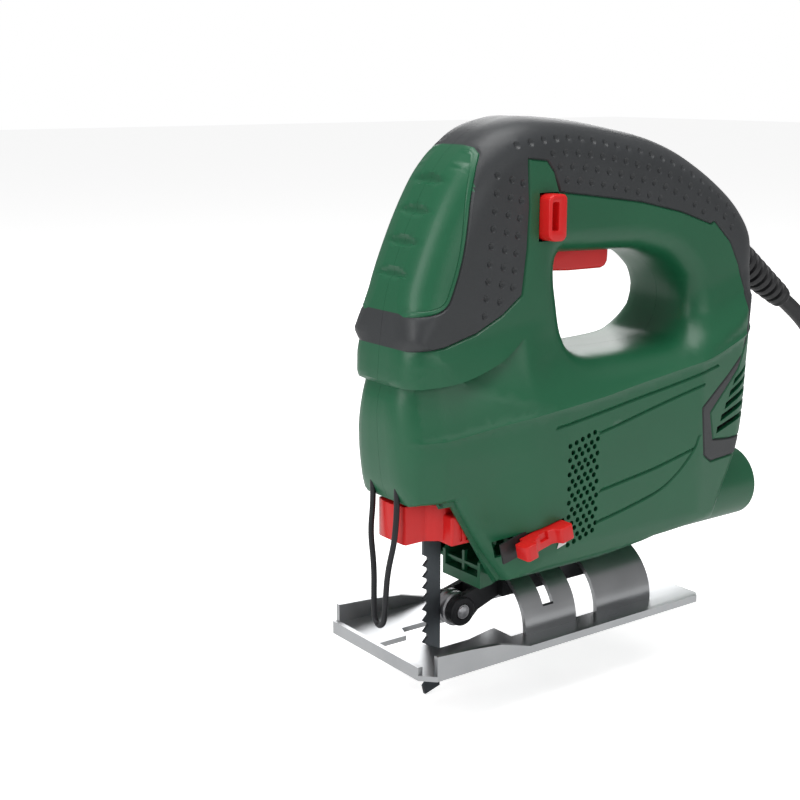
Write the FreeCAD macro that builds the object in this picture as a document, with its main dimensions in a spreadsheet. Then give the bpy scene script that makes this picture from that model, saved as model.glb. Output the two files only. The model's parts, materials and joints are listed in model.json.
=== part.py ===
import FreeCAD, Part
import math
import os
import re
import Sketcher
from FreeCAD import Placement, Rotation, Vector

# A compact jigsaw in millimetres. The origin is where the blade line meets the sole.
# +X points to the rear, +Y to the tool's right and +Z up.

SIZES = {
    # housing, seen from the side
    "nose_low": 60, "nose_front": -24.5, "housing_low": 26, "housing_rear": 155,
    "recess_top_x": 3, "recess_low_x": 22, "recess_back": 16, "recess_half": 17,
    "tail_low_x": 125, "tail_low_z": 32,
    "handle_top": 196.4, "wall": 2.6, "body_half": 31, "skin": 1.5,
    # half-widths of the housing, from the sole up and from the nose back
    "low_half": 18, "foot_rise_half": 27, "shoulder_half": 27.5, "waist_half": 24, "grip_half": 23,
    "upper_grip_half": 20.5, "crown_half": 17.5, "crown_edge_half": 13, "top_half": 7,
    "nose_tip_half": 11, "nose_corner_half": 18, "nose_side_half": 22.5, "cheek_half": 25,
    "rear_half": 27, "tail_half": 18,
    "grip_hole_low": 106.5, "grip_hole_top": 145.5, "grip_hole_front": 45, "grip_hole_rear": 116,
    "rib": 3, "play": 0.3, "fit": 0.05,
    # base plate
    "plate_front": -26.7, "plate_rear": 116.5, "plate_half": 32.5, "sheet": 2,
    "lip_front": 9.5, "lip_low": 3, "tilt_axis": 2.5, "arch_outer": 22, "arch_sheet": 1.8,
    "front_arch_start": 29, "front_arch_end": 55, "rear_arch_start": 66, "rear_arch_end": 96,
    "arch_slot_x": 39, "arch_slot": 5.4, "opening_front": -21, "slot_half": 5,
    "notch_half": 12, "notch_rear": 22, "foot_half": 13, "saddle_play": 0.3,
    # roller carrier and guide roller
    "roller_radius": 6.3, "roller_width": 6, "roller_pin": 2, "roller_height": 11,
    "cheek_radius": 5.8, "arm_half": 5.7, "bar_half": 9, "bar_low": 14, "bar_rear": 98,
    # blade and plunger
    "blade_width": 8, "blade_thick": 1.25, "blade_tip": -21.5, "blade_length": 83,
    "tooth_pitch": 4.4, "tooth_depth": 2.2, "rod_radius": 5, "rod_low": 46, "rod_top": 138,
    "stroke": 20, "clamp_radius": 8.4, "clamp_low": 43, "clamp_top": 53,
    "collar_low": 43.8, "collar_top": 55.8, "collar_radius": 12.3, "collar_front": 20,
    "bush_radius": 8, "lower_bush_low": 76, "bush_length": 7.5, "upper_bush_low": 126,
    "nose_cavity": 20.9, "yoke_start": 6, "yoke_end": 12.6, "yoke_half": 17, "yoke_high": 12,
    "slider_size": 8.6, "crank_pin": 3, "crank_gap": 0.3,
    # gear train
    "motor_height": 77, "gear_module": 0.8, "pinion_teeth": 8, "gear_teeth": 52,
    "gear_start": 13.6, "gear_face": 9, "tooth_play": 0.12, "axle_radius": 4,
    "plate_start": 24, "bearing_plate": 4, "front_bearing_radius": 11, "front_bearing_width": 7,
    # motor
    "shaft_radius": 4, "shaft_rear": 134, "fan_start": 39, "fan_width": 12, "fan_radius": 20.5,
    "baffle_radius": 26, "switch_top": 180,
    "core_start": 62, "core_length": 36, "core_half": 22, "armature_radius": 14, "air_gap": 0.5,
    "winding_out": 6, "commutator_start": 106, "commutator_length": 12, "commutator_radius": 8.5,
    "rear_bearing_start": 124, "rear_bearing_width": 6, "rear_bearing_radius": 9.5,
    "cushion": 1.5, "brush_width": 6, "brush_height": 8, "brush_length": 10, "holder_wall": 1.2,
    # controls
    "trigger_front": 46, "trigger_rear": 80, "trigger_low": 138.5, "trigger_high": 153,
    "trigger_half": 8, "trigger_travel": 5, "lock_x": 37, "lock_z": 161,
    "lever_travel": 8, "lever_z": 47.9, "lever_rear": 46, "lever_length": 31, "lever_slope": 13,
    "slot_play": 0.8, "spring_wire": 1,
    # dust duct
    "tube_radius": 15.3, "tube_bore": 13.4, "tube_height": 36, "tube_rear": 166,
    "tube_start": 118, "duct_half": 14, "duct_low": 35, "duct_high": 50.5, "duct_wall": 1.6,
    # cord
    "cord_radius": 3.5, "boot_length": 56, "boot_radius": 8.3, "boot_tip": 4.8, "boot_x": 148,
    "boot_z": 145.4, "coil_radius": 38, "coil_half": 10.8, "coil_x": 312, "coil_y": -9, "plug_y": 24,
    "floor": -22, "wire_radius": 1.1, "wire_x": -21.5, "wire_half": 7.5, "clamp_screw": 2.5,
}

doc = FreeCAD.newDocument("Jigsaw")
sheet = doc.addObject("Spreadsheet::Sheet", "Sizes")
for row, (alias, value) in enumerate(SIZES.items(), start=1):
    sheet.set(f"A{row}", alias)
    sheet.set(f"B{row}", str(value))
    sheet.setAlias(f"B{row}", alias)
doc.recompute()

NODES = []
TURN = {
    "X": Rotation(Vector(0, 1, 0), 90),
    "Y": Rotation(Vector(1, 0, 0), -90),
    "Z": Rotation(),
}


def link(text):
    """Turn 'wall + play' into an expression on the sheet's cells."""
    return re.sub(r"[a-z_]+", lambda m: f"Sizes.{m[0]}" if m[0] in SIZES else m[0], str(text))


def val(text):
    """The number that an expression on the sheet has now."""
    return float(sheet.evalExpression(link(text)))


def val_int(text):
    """The value as a whole number, for counts of teeth."""
    return int(round(val(text)))


def bind(thing, **sizes):
    for name, text in sizes.items():
        thing.setExpression(name, link(text))


def put(thing, x=0, y=0, z=0, turn=Rotation()):
    thing.Placement = Placement(Vector(), turn)
    for name, text in (("x", x), ("y", y), ("z", z)):
        thing.setExpression(f"Placement.Base.{name}", link(text))
    return thing


def cylinder(radius, length, along="X", x=0, y=0, z=0):
    thing = doc.addObject("Part::Cylinder", "Cylinder")
    bind(thing, Radius=radius, Height=length)
    return put(thing, x, y, z, TURN[along])


def cone(low_radius, high_radius, length, along="X", x=0, y=0, z=0):
    thing = doc.addObject("Part::Cone", "Cone")
    bind(thing, Radius1=low_radius, Radius2=high_radius, Height=length)
    return put(thing, x, y, z, TURN[along])


def box(x, y, z):
    """A box between two limits on each axis, each limit an expression."""
    thing = doc.addObject("Part::Box", "Box")
    bind(thing, Length=f"({x[1]}) - ({x[0]})", Width=f"({y[1]}) - ({y[0]})",
         Height=f"({z[1]}) - ({z[0]})")
    return put(thing, x[0], y[0], z[0])


def cut(base, *tools):
    for tool in tools:
        thing = doc.addObject("Part::Cut", "Cut")
        thing.Base = base
        thing.Tool = tool
        base = thing
    return base


def fuse(*things):
    thing = doc.addObject("Part::MultiFuse", "Fusion")
    thing.Shapes = list(things)
    thing.Refine = True
    return thing


def common(*things):
    thing = doc.addObject("Part::MultiCommon", "Common")
    thing.Shapes = list(things)
    return thing


def group(*things):
    """Separate solids kept in one node."""
    thing = doc.addObject("Part::Compound", "Group")
    thing.Links = list(things)
    return thing


def ring(outer, inner, length, along="X", x=0, y=0, z=0):
    return cut(cylinder(outer, length, along, x, y, z), cylinder(inner, length, along, x, y, z))


def node(label, thing):
    thing.Label = label
    NODES.append(thing)
    return thing


def feature(shape):
    """A solid worked out with Part's own functions, where neither sketches nor primitives fit."""
    thing = doc.addObject("Part::Feature", "Solid")
    thing.Shape = shape
    return thing


def sketch(body, plane, points):
    """A closed outline whose every corner is held by two dimensions on the sheet."""
    drawing = body.newObject("Sketcher::SketchObject", "Outline")
    origin = [f for f in body.Origin.OriginFeatures if f.Role == f"{plane}_Plane"][0]
    drawing.AttachmentSupport = (origin, "")
    drawing.MapMode = "FlatFace"
    spots = [Vector(val(a), val(b), 0) for a, b in points]
    for i, spot in enumerate(spots):
        drawing.addGeometry(Part.LineSegment(spot, spots[(i + 1) % len(spots)]), False)
    for i, (across, up) in enumerate(points):
        drawing.addConstraint(Sketcher.Constraint("Coincident", i - 1 if i else len(points) - 1, 2, i, 1))
        for kind, text in (("DistanceX", across), ("DistanceY", up)):
            index = drawing.addConstraint(Sketcher.Constraint(kind, -1, 1, i, 1, val(text)))
            drawing.setExpression(f"Constraints[{index}]", link(text))
    return drawing


def plate(plane, points, thick, x=0, y=0, z=0):
    """A body padded from an outline: half its thickness lies on each side of the plane."""
    body = doc.addObject("PartDesign::Body", "Body")
    drawing = sketch(body, plane, points)
    pad = body.newObject("PartDesign::Pad", "Pad")
    pad.Profile = drawing
    pad.Midplane = True
    pad.setExpression("Length", link(thick))
    return put(body, x, y, z)


def turned(plane, points, axis="H_Axis", x=0, y=0, z=0):
    """A body turned from an outline about an axis of its sketch."""
    body = doc.addObject("PartDesign::Body", "Body")
    drawing = sketch(body, plane, points)
    turn = body.newObject("PartDesign::Revolution", "Turn")
    turn.Profile = drawing
    turn.ReferenceAxis = (drawing, [axis])
    turn.Angle = 360
    return put(body, x, y, z)


def spline(points):
    curve = Part.BSplineCurve()
    curve.interpolate([Vector(x, 0, z) for x, z in points])
    return curve.toShape()


def chain(points):
    corners = [Vector(x, 0, z) for x, z in points]
    return [Part.LineSegment(a, b).toShape() for a, b in zip(corners, corners[1:])]


def side_face():
    """The housing seen from the side: a spline over nose, grip and heel, straight runs below."""
    over = [(val("nose_front + 4.5"), val("nose_low")), (val("nose_front + 0.8"), 72), (val("nose_front"), 88),
            (val("nose_front + 0.6"), 110), (val("nose_front + 4.5"), 138), (-7, 167), (10, 188),
            (32, val("handle_top")), (62, 194.1), (94, 188.2), (123, 176), (146, 160),
            (val("housing_rear + 2"), 143), (val("housing_rear"), 112), (152, 86), (143, 60.5)]
    under = [over[-1], (132, 44), (val("tail_low_x"), val("tail_low_z")), (90, 31), (62, val("housing_low")),
             (val("recess_low_x"), val("housing_low")), (val("recess_top_x"), val("nose_low")), over[0]]
    return Part.Face(Part.Wire([spline(over)] + chain(under)))


def grip_hole_face():
    """The opening that the fingers go round."""
    low, top = val("grip_hole_low"), val("grip_hole_top")
    front, rear = val("grip_hole_front"), val("grip_hole_rear")
    spots = [(front, top - 3), (front + 1.5, low + 22), (front + 7, low + 3), (front + 14, low),
             (rear - 17, low), (rear - 5, low + 4), (rear, low + 17), (rear - 7, top - 9), (rear - 20, top - 2),
             (rear - 36, top), (front + 5, top + 1)]
    curve = Part.BSplineCurve()
    curve.interpolate([Vector(x, 0, z) for x, z in spots], PeriodicFlag=True)
    return Part.Face(Part.Wire([curve.toShape()]))


def across_face(inset):
    """The housing seen from the front: half-widths against height, without the inset."""
    wide = val("body_half")
    rows = [(val("housing_low"), val("low_half")), (val("housing_low + 4"), val("foot_rise_half")),
            (38, wide), (86, wide), (101, val("shoulder_half")), (116, val("waist_half")),
            (140, val("grip_half")), (160, val("upper_grip_half")), (182, val("crown_half")),
            (192, val("crown_edge_half")), (val("handle_top + 1"), val("top_half"))]
    right = [Vector(-100, half - inset, z) for z, half in rows]
    left = [Vector(-100, inset - half, z) for z, half in reversed(rows)]
    return Part.Face(Part.makePolygon(right + left + right[:1]))


def top_face(inset):
    """The housing seen from above: a rounded nose and a narrower heel."""
    wide = val("body_half")
    rows = [(val("nose_front - 1"), val("nose_tip_half")), (val("nose_front + 5"), val("nose_corner_half")),
            (val("nose_front + 14"), val("nose_side_half")), (4, val("cheek_half")), (24, wide - 1),
            (40, wide), (112, wide), (138, val("rear_half")), (val("housing_rear + 6"), val("tail_half"))]
    right = [Vector(x, half - inset, 0) for x, half in rows]
    left = [Vector(x, inset - half, 0) for x, half in reversed(rows)]
    return Part.Face(Part.makePolygon(right + left + right[:1]))


def offset_face(face, distance):
    """The face grown or shrunk by a distance, its curved edges drawn again as plain splines."""
    edges = []
    for edge in face.makeOffset2D(distance).Wires[0].OrderedEdges:
        spots = edge.discretize(2 if isinstance(edge.Curve, Part.Line) else 40)
        if edge.isClosed():
            curve = Part.BSplineCurve()
            curve.interpolate(spots[:-1], PeriodicFlag=True)
        elif len(spots) == 2:
            curve = Part.LineSegment(*spots)
        else:
            curve = Part.BSplineCurve()
            curve.interpolate(spots)
        edges.append(curve.toShape())
    return Part.Face(Part.Wire(Part.sortEdges(edges)[0]))


def housing_solid(inset):
    """The whole housing, or what is left of it inside a wall as thick as the inset."""
    outline, hole = side_face(), grip_hole_face()
    if inset:
        outline = offset_face(outline, -inset)
        hole = offset_face(hole, inset)
    for face in (outline, hole):
        face.translate(Vector(0, -60, 0))
    solid = outline.extrude(Vector(0, 120, 0)).cut(hole.extrude(Vector(0, 120, 0)))
    solid = solid.common(across_face(inset).extrude(Vector(300, 0, 0)))
    return solid.common(top_face(inset).extrude(Vector(0, 0, 300))).Solids[0]


def block(x, y, z):
    """A plain box between limits, for cutting the housing."""
    low = Vector(val(x[0]), val(y[0]), val(z[0]))
    return Part.makeBox(val(x[1]) - low.x, val(y[1]) - low.y, val(z[1]) - low.z, low)


def rod_shape(radius, x0, x1, y=0, z=0):
    return Part.makeCylinder(val(radius), val(x1) - val(x0), Vector(val(x0), val(y), val(z)), Vector(1, 0, 0))


def upright(radius, z0, z1, x=0, y=0):
    return Part.makeCylinder(val(radius), val(z1) - val(z0), Vector(val(x), val(y), val(z0)), Vector(0, 0, 1))


def zone(points):
    """A region of the side view, as a prism right across the housing."""
    corners = [Vector(x, -60, z) for x, z in points]
    return Part.Face(Part.makePolygon(corners + corners[:1])).extrude(Vector(0, 120, 0))


def grip_zone():
    """Where the soft grip lies: round the front, over the handle and down the heel."""
    return zone([(-60, 107), (-12, 106), (10, 111), (26, 117), (27, 134), (30, 158), (40, 171), (62, 168.5),
                 (86, 165), (108, 160), (124, 154), (136, 145), (143, 135), (146, 122), (147, 106),
                 (141, 92), (126, 82), (124, 66), (131, 44), (170, 44), (170, 220), (-60, 220)])


def pad_zone():
    return zone([(-60, 129), (-26, 128), (-11, 131), (-7, 141), (-2, 160), (2, 178), (0, 188), (-12, 192), (-60, 192)])


def ribs(cavity):
    """Walls across the housing that carry what is inside, each with seats cut to fit."""
    gear_z = "motor_height + gear_module * (pinion_teeth + gear_teeth) / 2"
    slabs = []
    for x in ("core_start + 3", "core_start + core_length - 6"):
        slab = block((x, f"{x} + rib"), (-60, 60), ("duct_high + 1", 104))
        seat = block((-100, 200), ("-core_half - play", "core_half + play"),
                     ("motor_height - core_half - play", "motor_height + core_half + play"))
        slabs.append(slab.cut(seat))
    x = "rear_bearing_start + 1"
    slab = block((x, f"{x} + rib"), (-60, 60), ("tube_height + tube_radius + 1", 104))
    slabs.append(slab.cut(rod_shape("rear_bearing_radius + cushion + fit", 100, 180, 0, "motor_height")))
    x = "plate_start - rib - play"
    slab = block((x, f"{x} + rib"), (-60, 60), (60, 124))
    gap = rod_shape("gear_module * (gear_teeth + 2) / 2 + 1", 0, 60, 0, gear_z)
    slabs.append(slab.cut(gap).cut(block((0, 60), (-20, 20), (62, 100))))
    x = "plate_start + bearing_plate + play"
    slab = block((x, f"{x} + rib"), (-60, 60), (60, 124))
    slabs.append(slab.cut(rod_shape("front_bearing_radius + 3.5", 0, 60, 0, "motor_height"))
                 .cut(rod_shape("8", 0, 60, 0, gear_z)))
    x = "fan_start + fan_width + 1"
    slab = block((x, f"{x} + 2"), (-60, 60), ("duct_high + 1", 104))
    slabs.append(slab.cut(rod_shape("baffle_radius + fit", 0, 100, 0, "motor_height")))
    for x in (48, 72):
        slab = block((x, f"{x} + rib"), (-60, 60), (150, 190))
        slabs.append(slab.cut(block((0, 100), ("-9 - play / 3", "9 + play / 3"), (130, "switch_top + play / 3"))))
    slab = block((92, "92 + rib"), (-60, 60), (150, 190))
    slabs.append(slab.cut(rod_shape(6.1, 60, 120, 0, 171.7)))
    slabs.append(block((128, 136), (-60, 60), (141, 150)).cut(block((120, 140), (4, 6), (130, 160))))
    pocket = block((30.5, 43.5), (-60, -6), (150, 172)).cut(block((32, 42), (-60, -8), (151.5, 170.5)))
    slabs.append(pocket.cut(Part.makeCylinder(2.7, 40, Vector(val("lock_x"), -40, val("lock_z - 3")),
                                              Vector(0, 1, 0))))
    for low in ("lower_bush_low + 2", "upper_bush_low + 2"):
        slab = block((-60, "gear_start - 1"), (-60, 60), (low, f"{low} + bush_length - 4"))
        slabs.append(slab.cut(upright("bush_radius + fit", 0, 200)))
    shape = slabs[0].multiFuse(slabs[1:])
    return shape.common(cavity)


GEAR_Z = "(motor_height + gear_module * (pinion_teeth + gear_teeth) / 2)"
BOOT_TURN = Rotation(Vector(0, 1, 0), 123)


def shell_openings():
    """Everything that passes through the housing walls."""
    holes = [upright("nose_cavity", "nose_low - 5", "collar_top + stroke + 1.5")]
    holes.append(block((-40, "recess_back"), ("-recess_half", "recess_half"), (20, "nose_low + 1")))
    holes.append(rod_shape("tube_radius + fit", "tube_start - 4", "tube_rear + 20", 0, "tube_height"))
    holes.append(block(("recess_low_x - 12", "tube_start + 1"), ("-duct_half - fit", "duct_half + fit"),
                       ("duct_low - fit", "duct_high + fit")))
    holes.append(block(("-20", "34 + fit"), ("-11.5 - fit", "11.5 + fit"), ("20", "45 + fit")))
    holes.append(block(("trigger_front - play", "trigger_rear + play"), ("-trigger_half - play", "trigger_half + play"),
                       ("130", "trigger_high + trigger_travel + 1")))
    holes.append(block(("lock_x - 4.6", "lock_x + 4.6"), ("-40", "-8"), ("lock_z - 8.8", "lock_z + 8.8")))
    slope = Rotation(Vector(0, 1, 0), -val("lever_slope"))
    run = val("lever_travel + slot_play")
    slot = Part.makeBox(val("lever_length") + run + 0.3, 12, 7, Vector(-val("lever_length") - run, -38, -3.5))
    slot.Placement = Placement(Vector(val("lever_rear"), 0, val("lever_z")), slope)
    holes.append(slot)
    boot = Part.makeCylinder(val("boot_radius + fit"), 60, Vector(0, 0, -4), Vector(0, 0, 1))
    boot.Placement = Placement(Vector(val("boot_x"), 0, val("boot_z")), BOOT_TURN)
    holes.append(boot)
    vents = [Part.makeCylinder(1.1, 80, Vector(41 + 3.2 * i + 1.6 * (j % 2), -40, 56 + 3.4 * j), Vector(0, 1, 0))
             for i in range(4) for j in range(7)]
    holes += vents
    louvre = [block(("127 + 2 * " + str(k), "131 + 2 * " + str(k)), (-40, 40), (f"66 + 5.5 * {k}", f"69 + 5.5 * {k}"))
              for k in range(5)]
    holes += louvre
    for side in (-1, 1):
        holes.append(upright("wire_radius + fit", "nose_low - 5", "nose_low + 6.1", "wire_x", f"{side} * wire_half"))
    for side in (-1, 1):
        holes.append(upright(1.52, 146.9, 151, 132, f"{side} * 7.5"))
    screw_x = "arch_slot_x + arch_slot / 2"
    holes.append(upright("clamp_screw + play", 10, "housing_low + wall + 1", screw_x))
    return holes


SCREW_SPOTS = [(30, 128), (30, 180), (124, 166), (149, 122), (27, 56), (134, 56), (118, 98)]


def screw_shapes():
    """Self-tapping screws that draw the two halves together from the tool's right."""
    screws = []
    for x, z in SCREW_SPOTS:
        head = Part.makeCylinder(3.2, 2.4, Vector(x, 9.6, z), Vector(0, 1, 0))
        shank = Part.makeCylinder(1.6, 18, Vector(x, -8.4, z), Vector(0, 1, 0))
        screws.append(head.fuse(shank))
    return screws


def screw_bosses(solid):
    """A post in each half for every screw, joined to the outer wall."""
    posts = [Part.makeCylinder(4.6, 80, Vector(x, -40, z), Vector(0, 1, 0)) for x, z in SCREW_SPOTS]
    return posts[0].multiFuse(posts[1:]).common(solid)


def screw_holes():
    holes = []
    for x, z in SCREW_SPOTS:
        holes.append(Part.makeCylinder(1.6 + 0.02, 18.5, Vector(x, -8.9, z), Vector(0, 1, 0)))
        holes.append(Part.makeCylinder(3.2 + 0.1, 40, Vector(x, 9.6, z), Vector(0, 1, 0)))
    return holes


def saddle_foot():
    """The foot between housing and base arches, hollowed to the arches' curve."""
    foot = block(("front_arch_start - 2", "rear_arch_end + 2"), ("-foot_half", "foot_half"), (12, "housing_low + wall"))
    return foot.cut(rod_shape("arch_outer + saddle_play", 0, 150, 0, "tilt_axis"))


def build_housing():
    outer = housing_solid(0)
    under_skin = housing_solid(val("skin"))
    cavity = housing_solid(val("wall"))
    deep = housing_solid(val("wall + skin"))
    band = outer.cut(under_skin)
    grip = band.common(grip_zone())
    pad = grip.common(pad_zone())
    thick = outer.cut(cavity).fuse(under_skin.cut(deep).common(grip_zone()))
    inside = cavity.cut(cavity.cut(deep).common(grip_zone()))
    tower = upright("nose_cavity + 2", "nose_low", "collar_top + stroke + 4").common(cavity)
    tower = tower.common(block((-60, "gear_start - 1"), (-60, 60), (0, 200)))
    recess = block((-40, "recess_back + wall"), ("-recess_half - wall", "recess_half + wall"),
                   ("housing_low", "nose_low + wall")).common(cavity)
    shell = thick.multiFuse([ribs(inside), screw_bosses(inside), tower, recess, saddle_foot()])
    shell = shell.cut(grip)
    shell = shell.cut(shell_openings()).cut(screw_holes()).cut(supply_lead_shape(0.1)).cut(motor_lead_shape(0.1))
    shell = shell.cut(upright("bush_radius + fit", 60, 160))
    skins = grip.cut(pad).cut(shell_openings() + screw_holes())
    far = block((-100, 300), (0, 100), (-100, 300))
    near = block((-100, 300), (-100, 0), (-100, 300))
    for name, half in (("left", near), ("right", far)):
        solids = sorted(shell.common(half).Solids, key=lambda s: s.Volume)
        node(f"{name}_housing", feature(solids[-1]))
        node(f"{name}_grip_skin", feature(sorted(skins.common(half).Solids, key=lambda s: s.Volume)[-1]))
    node("front_grip_pad", feature(pad))
    node("housing_screws", feature(Part.makeCompound(screw_shapes())))


def build_dust_duct():
    """The moulded chip duct: a ribbed mouth behind the blade, a channel and the outlet tube."""
    channel = box(("30", "tube_start + duct_wall"), ("-duct_half", "duct_half"), ("duct_low", "duct_high"))
    hollow = box(("26", "tube_start + 3"), ("-duct_half + duct_wall", "duct_half - duct_wall"),
                 ("duct_low + duct_wall", "duct_high - duct_wall"))
    tube = cylinder("tube_radius", "tube_rear - tube_start", "X", "tube_start", 0, "tube_height")
    bore = cylinder("tube_bore", "tube_rear - tube_start", "X", "tube_start + duct_wall", 0, "tube_height")
    mouth = plate("XZ", [(14.5, 20.8), (20, 21.4), (26, 23.8), (30, 26.5), (34, "duct_low"), (34, 45), (24, 45),
                         (22, 37), (14.5, 31)], 23)
    throat = box((13, 31), ("-11.5 + duct_wall", "11.5 - duct_wall"), (25, "duct_high - duct_wall - 9"))
    bars = [box((15.5, 17), (-10.5, 10.5), (28, 29)), box((15.5, 17), (-0.7, 0.7), (24.5, 33))]
    solid = cut(fuse(channel, mouth, tube), hollow, bore, throat)
    node("dust_duct", fuse(solid, *bars))


def build_base_plate():
    """Pressed steel shoe: flat sheet, side lips, and two arches that tilt in the housing's saddle."""
    sheet_solid = plate("XY", [("plate_front", "-plate_half + 5"), ("plate_front + 5", "-plate_half"),
                               ("plate_rear - 4", "-plate_half"), ("plate_rear", "-plate_half + 4"),
                               ("plate_rear", "plate_half - 4"), ("plate_rear - 4", "plate_half"),
                               ("plate_front + 5", "plate_half"), ("plate_front", "plate_half - 5")],
                        "sheet", 0, 0, "sheet / 2")
    front = box(("plate_front", "plate_front + sheet"), ("-plate_half + 5", "plate_half - 5"), (0, 5))
    parts = [sheet_solid, front]
    rim = [("plate_front + 5", 0), ("plate_rear - 4", 0), ("plate_rear - 4", "lip_low"), (22, "lip_low"),
           (8, "lip_front - 2.5"), (-6, "lip_front - 1"), ("plate_front + 5", "lip_front")]
    for side in (-1, 1):
        parts.append(plate("XZ", rim, "sheet", 0, f"{side} * (plate_half - sheet / 2)"))
    solid = fuse(*parts)
    opening = plate("XY", [("opening_front", "-slot_half"), (-8, "-slot_half"), (-5, "-notch_half"),
                           (9, "-notch_half"), ("notch_rear", "-9"), ("front_arch_start - 4", "-9"),
                           ("front_arch_start - 4", "9"), ("notch_rear", 9), (9, "notch_half"), (-5, "notch_half"),
                           (-8, "slot_half"), ("opening_front", "slot_half")], 20)
    under = box(("front_arch_start - 5", "rear_arch_end + 2"), ("-arch_outer + arch_sheet + 1", "arch_outer - arch_sheet - 1"),
                (-1, 10))
    solid = cut(solid, opening, under)
    arches = []
    for start, end in (("front_arch_start", "front_arch_end"), ("rear_arch_start", "rear_arch_end")):
        band = ring("arch_outer", "arch_outer - arch_sheet", f"{end} - {start}", "X", start, 0, "tilt_axis")
        arches.append(common(band, box((0, 120), (-40, 40), ("sheet / 2", 40))))
    solid = fuse(solid, *arches)
    slot = cut(ring("arch_outer + 1", "arch_outer - 4", "arch_slot", "X", "arch_slot_x", 0, "tilt_axis"),
               box((0, 60), (-40, 40), (-40, "tilt_axis + 8.5")))
    notch = box(("front_arch_start - 1", "front_arch_start + 3"), (-2, 2), (20, 30))
    node("base_plate", cut(solid, slot, notch))


def build_roller_carrier():
    """The steel bar under the housing: clamps the arches and carries the guide roller."""
    inner = "arch_outer - arch_sheet - saddle_play"
    bar = common(cylinder(inner, "bar_rear - 28", "X", 28, 0, "tilt_axis"),
                 box((0, 200), ("-bar_half", "bar_half"), ("bar_low", 40)))
    x = "blade_width / 2 + 0.25 + roller_radius"
    arm = plate("XZ", [(x, "roller_height - cheek_radius"), (f"{x} + 4", "roller_height - 4.5"),
                       (f"{x} + 8", 10), (30, "bar_low"), (30, 19.5), (f"{x} + 9", 19.2), (x, 17)], "2 * arm_half")
    eye = cylinder("cheek_radius", "2 * arm_half", "Y", x, "-arm_half", "roller_height")
    gap = box((-10, f"{x} + roller_radius + 0.8"), ("-roller_width / 2 - 0.15", "roller_width / 2 + 0.15"), (0, 30))
    hole = cylinder("roller_pin", 40, "Y", x, -20, "roller_height")
    screw_x = "arch_slot_x + arch_slot / 2"
    carrier = cut(fuse(bar, arm, eye), gap, hole, cylinder(2.55, 60, "Z", screw_x, 0, 0))
    node("roller_carrier", carrier)
    node("roller_pin", fuse(cylinder("roller_pin", "2 * arm_half + 1", "Y", x, "-arm_half - 0.5", "roller_height"),
                            cylinder("roller_pin + 0.8", 1, "Y", x, "-arm_half - 1", "roller_height")))
    roller = turned("XZ", [("roller_pin + fit", "-roller_width / 2"), ("roller_radius + 0.6", "-roller_width / 2"),
                           ("roller_radius + 0.6", "-1.1"), ("roller_radius", "-1.1"), ("roller_radius", 1.1),
                           ("roller_radius + 0.6", 1.1), ("roller_radius + 0.6", "roller_width / 2"),
                           ("roller_pin + fit", "roller_width / 2")], "V_Axis", x, 0, "roller_height")
    roller.Placement = Placement(roller.Placement.Base, TURN["Y"])
    node("guide_roller", roller)
    low = "bar_low - 3.2"
    node("base_clamp_screw", cut(fuse(cylinder(4.2, 3.2, "Z", screw_x, 0, low),
                                      cylinder("clamp_screw", "housing_low + 7 - bar_low", "Z", screw_x, 0, "bar_low")),
                                 cylinder(2, 2, "Z", screw_x, 0, low)))
    node("clamp_nut", ring(4.4, "clamp_screw", 2, "Z", screw_x, 0, "housing_low + wall"))


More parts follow.
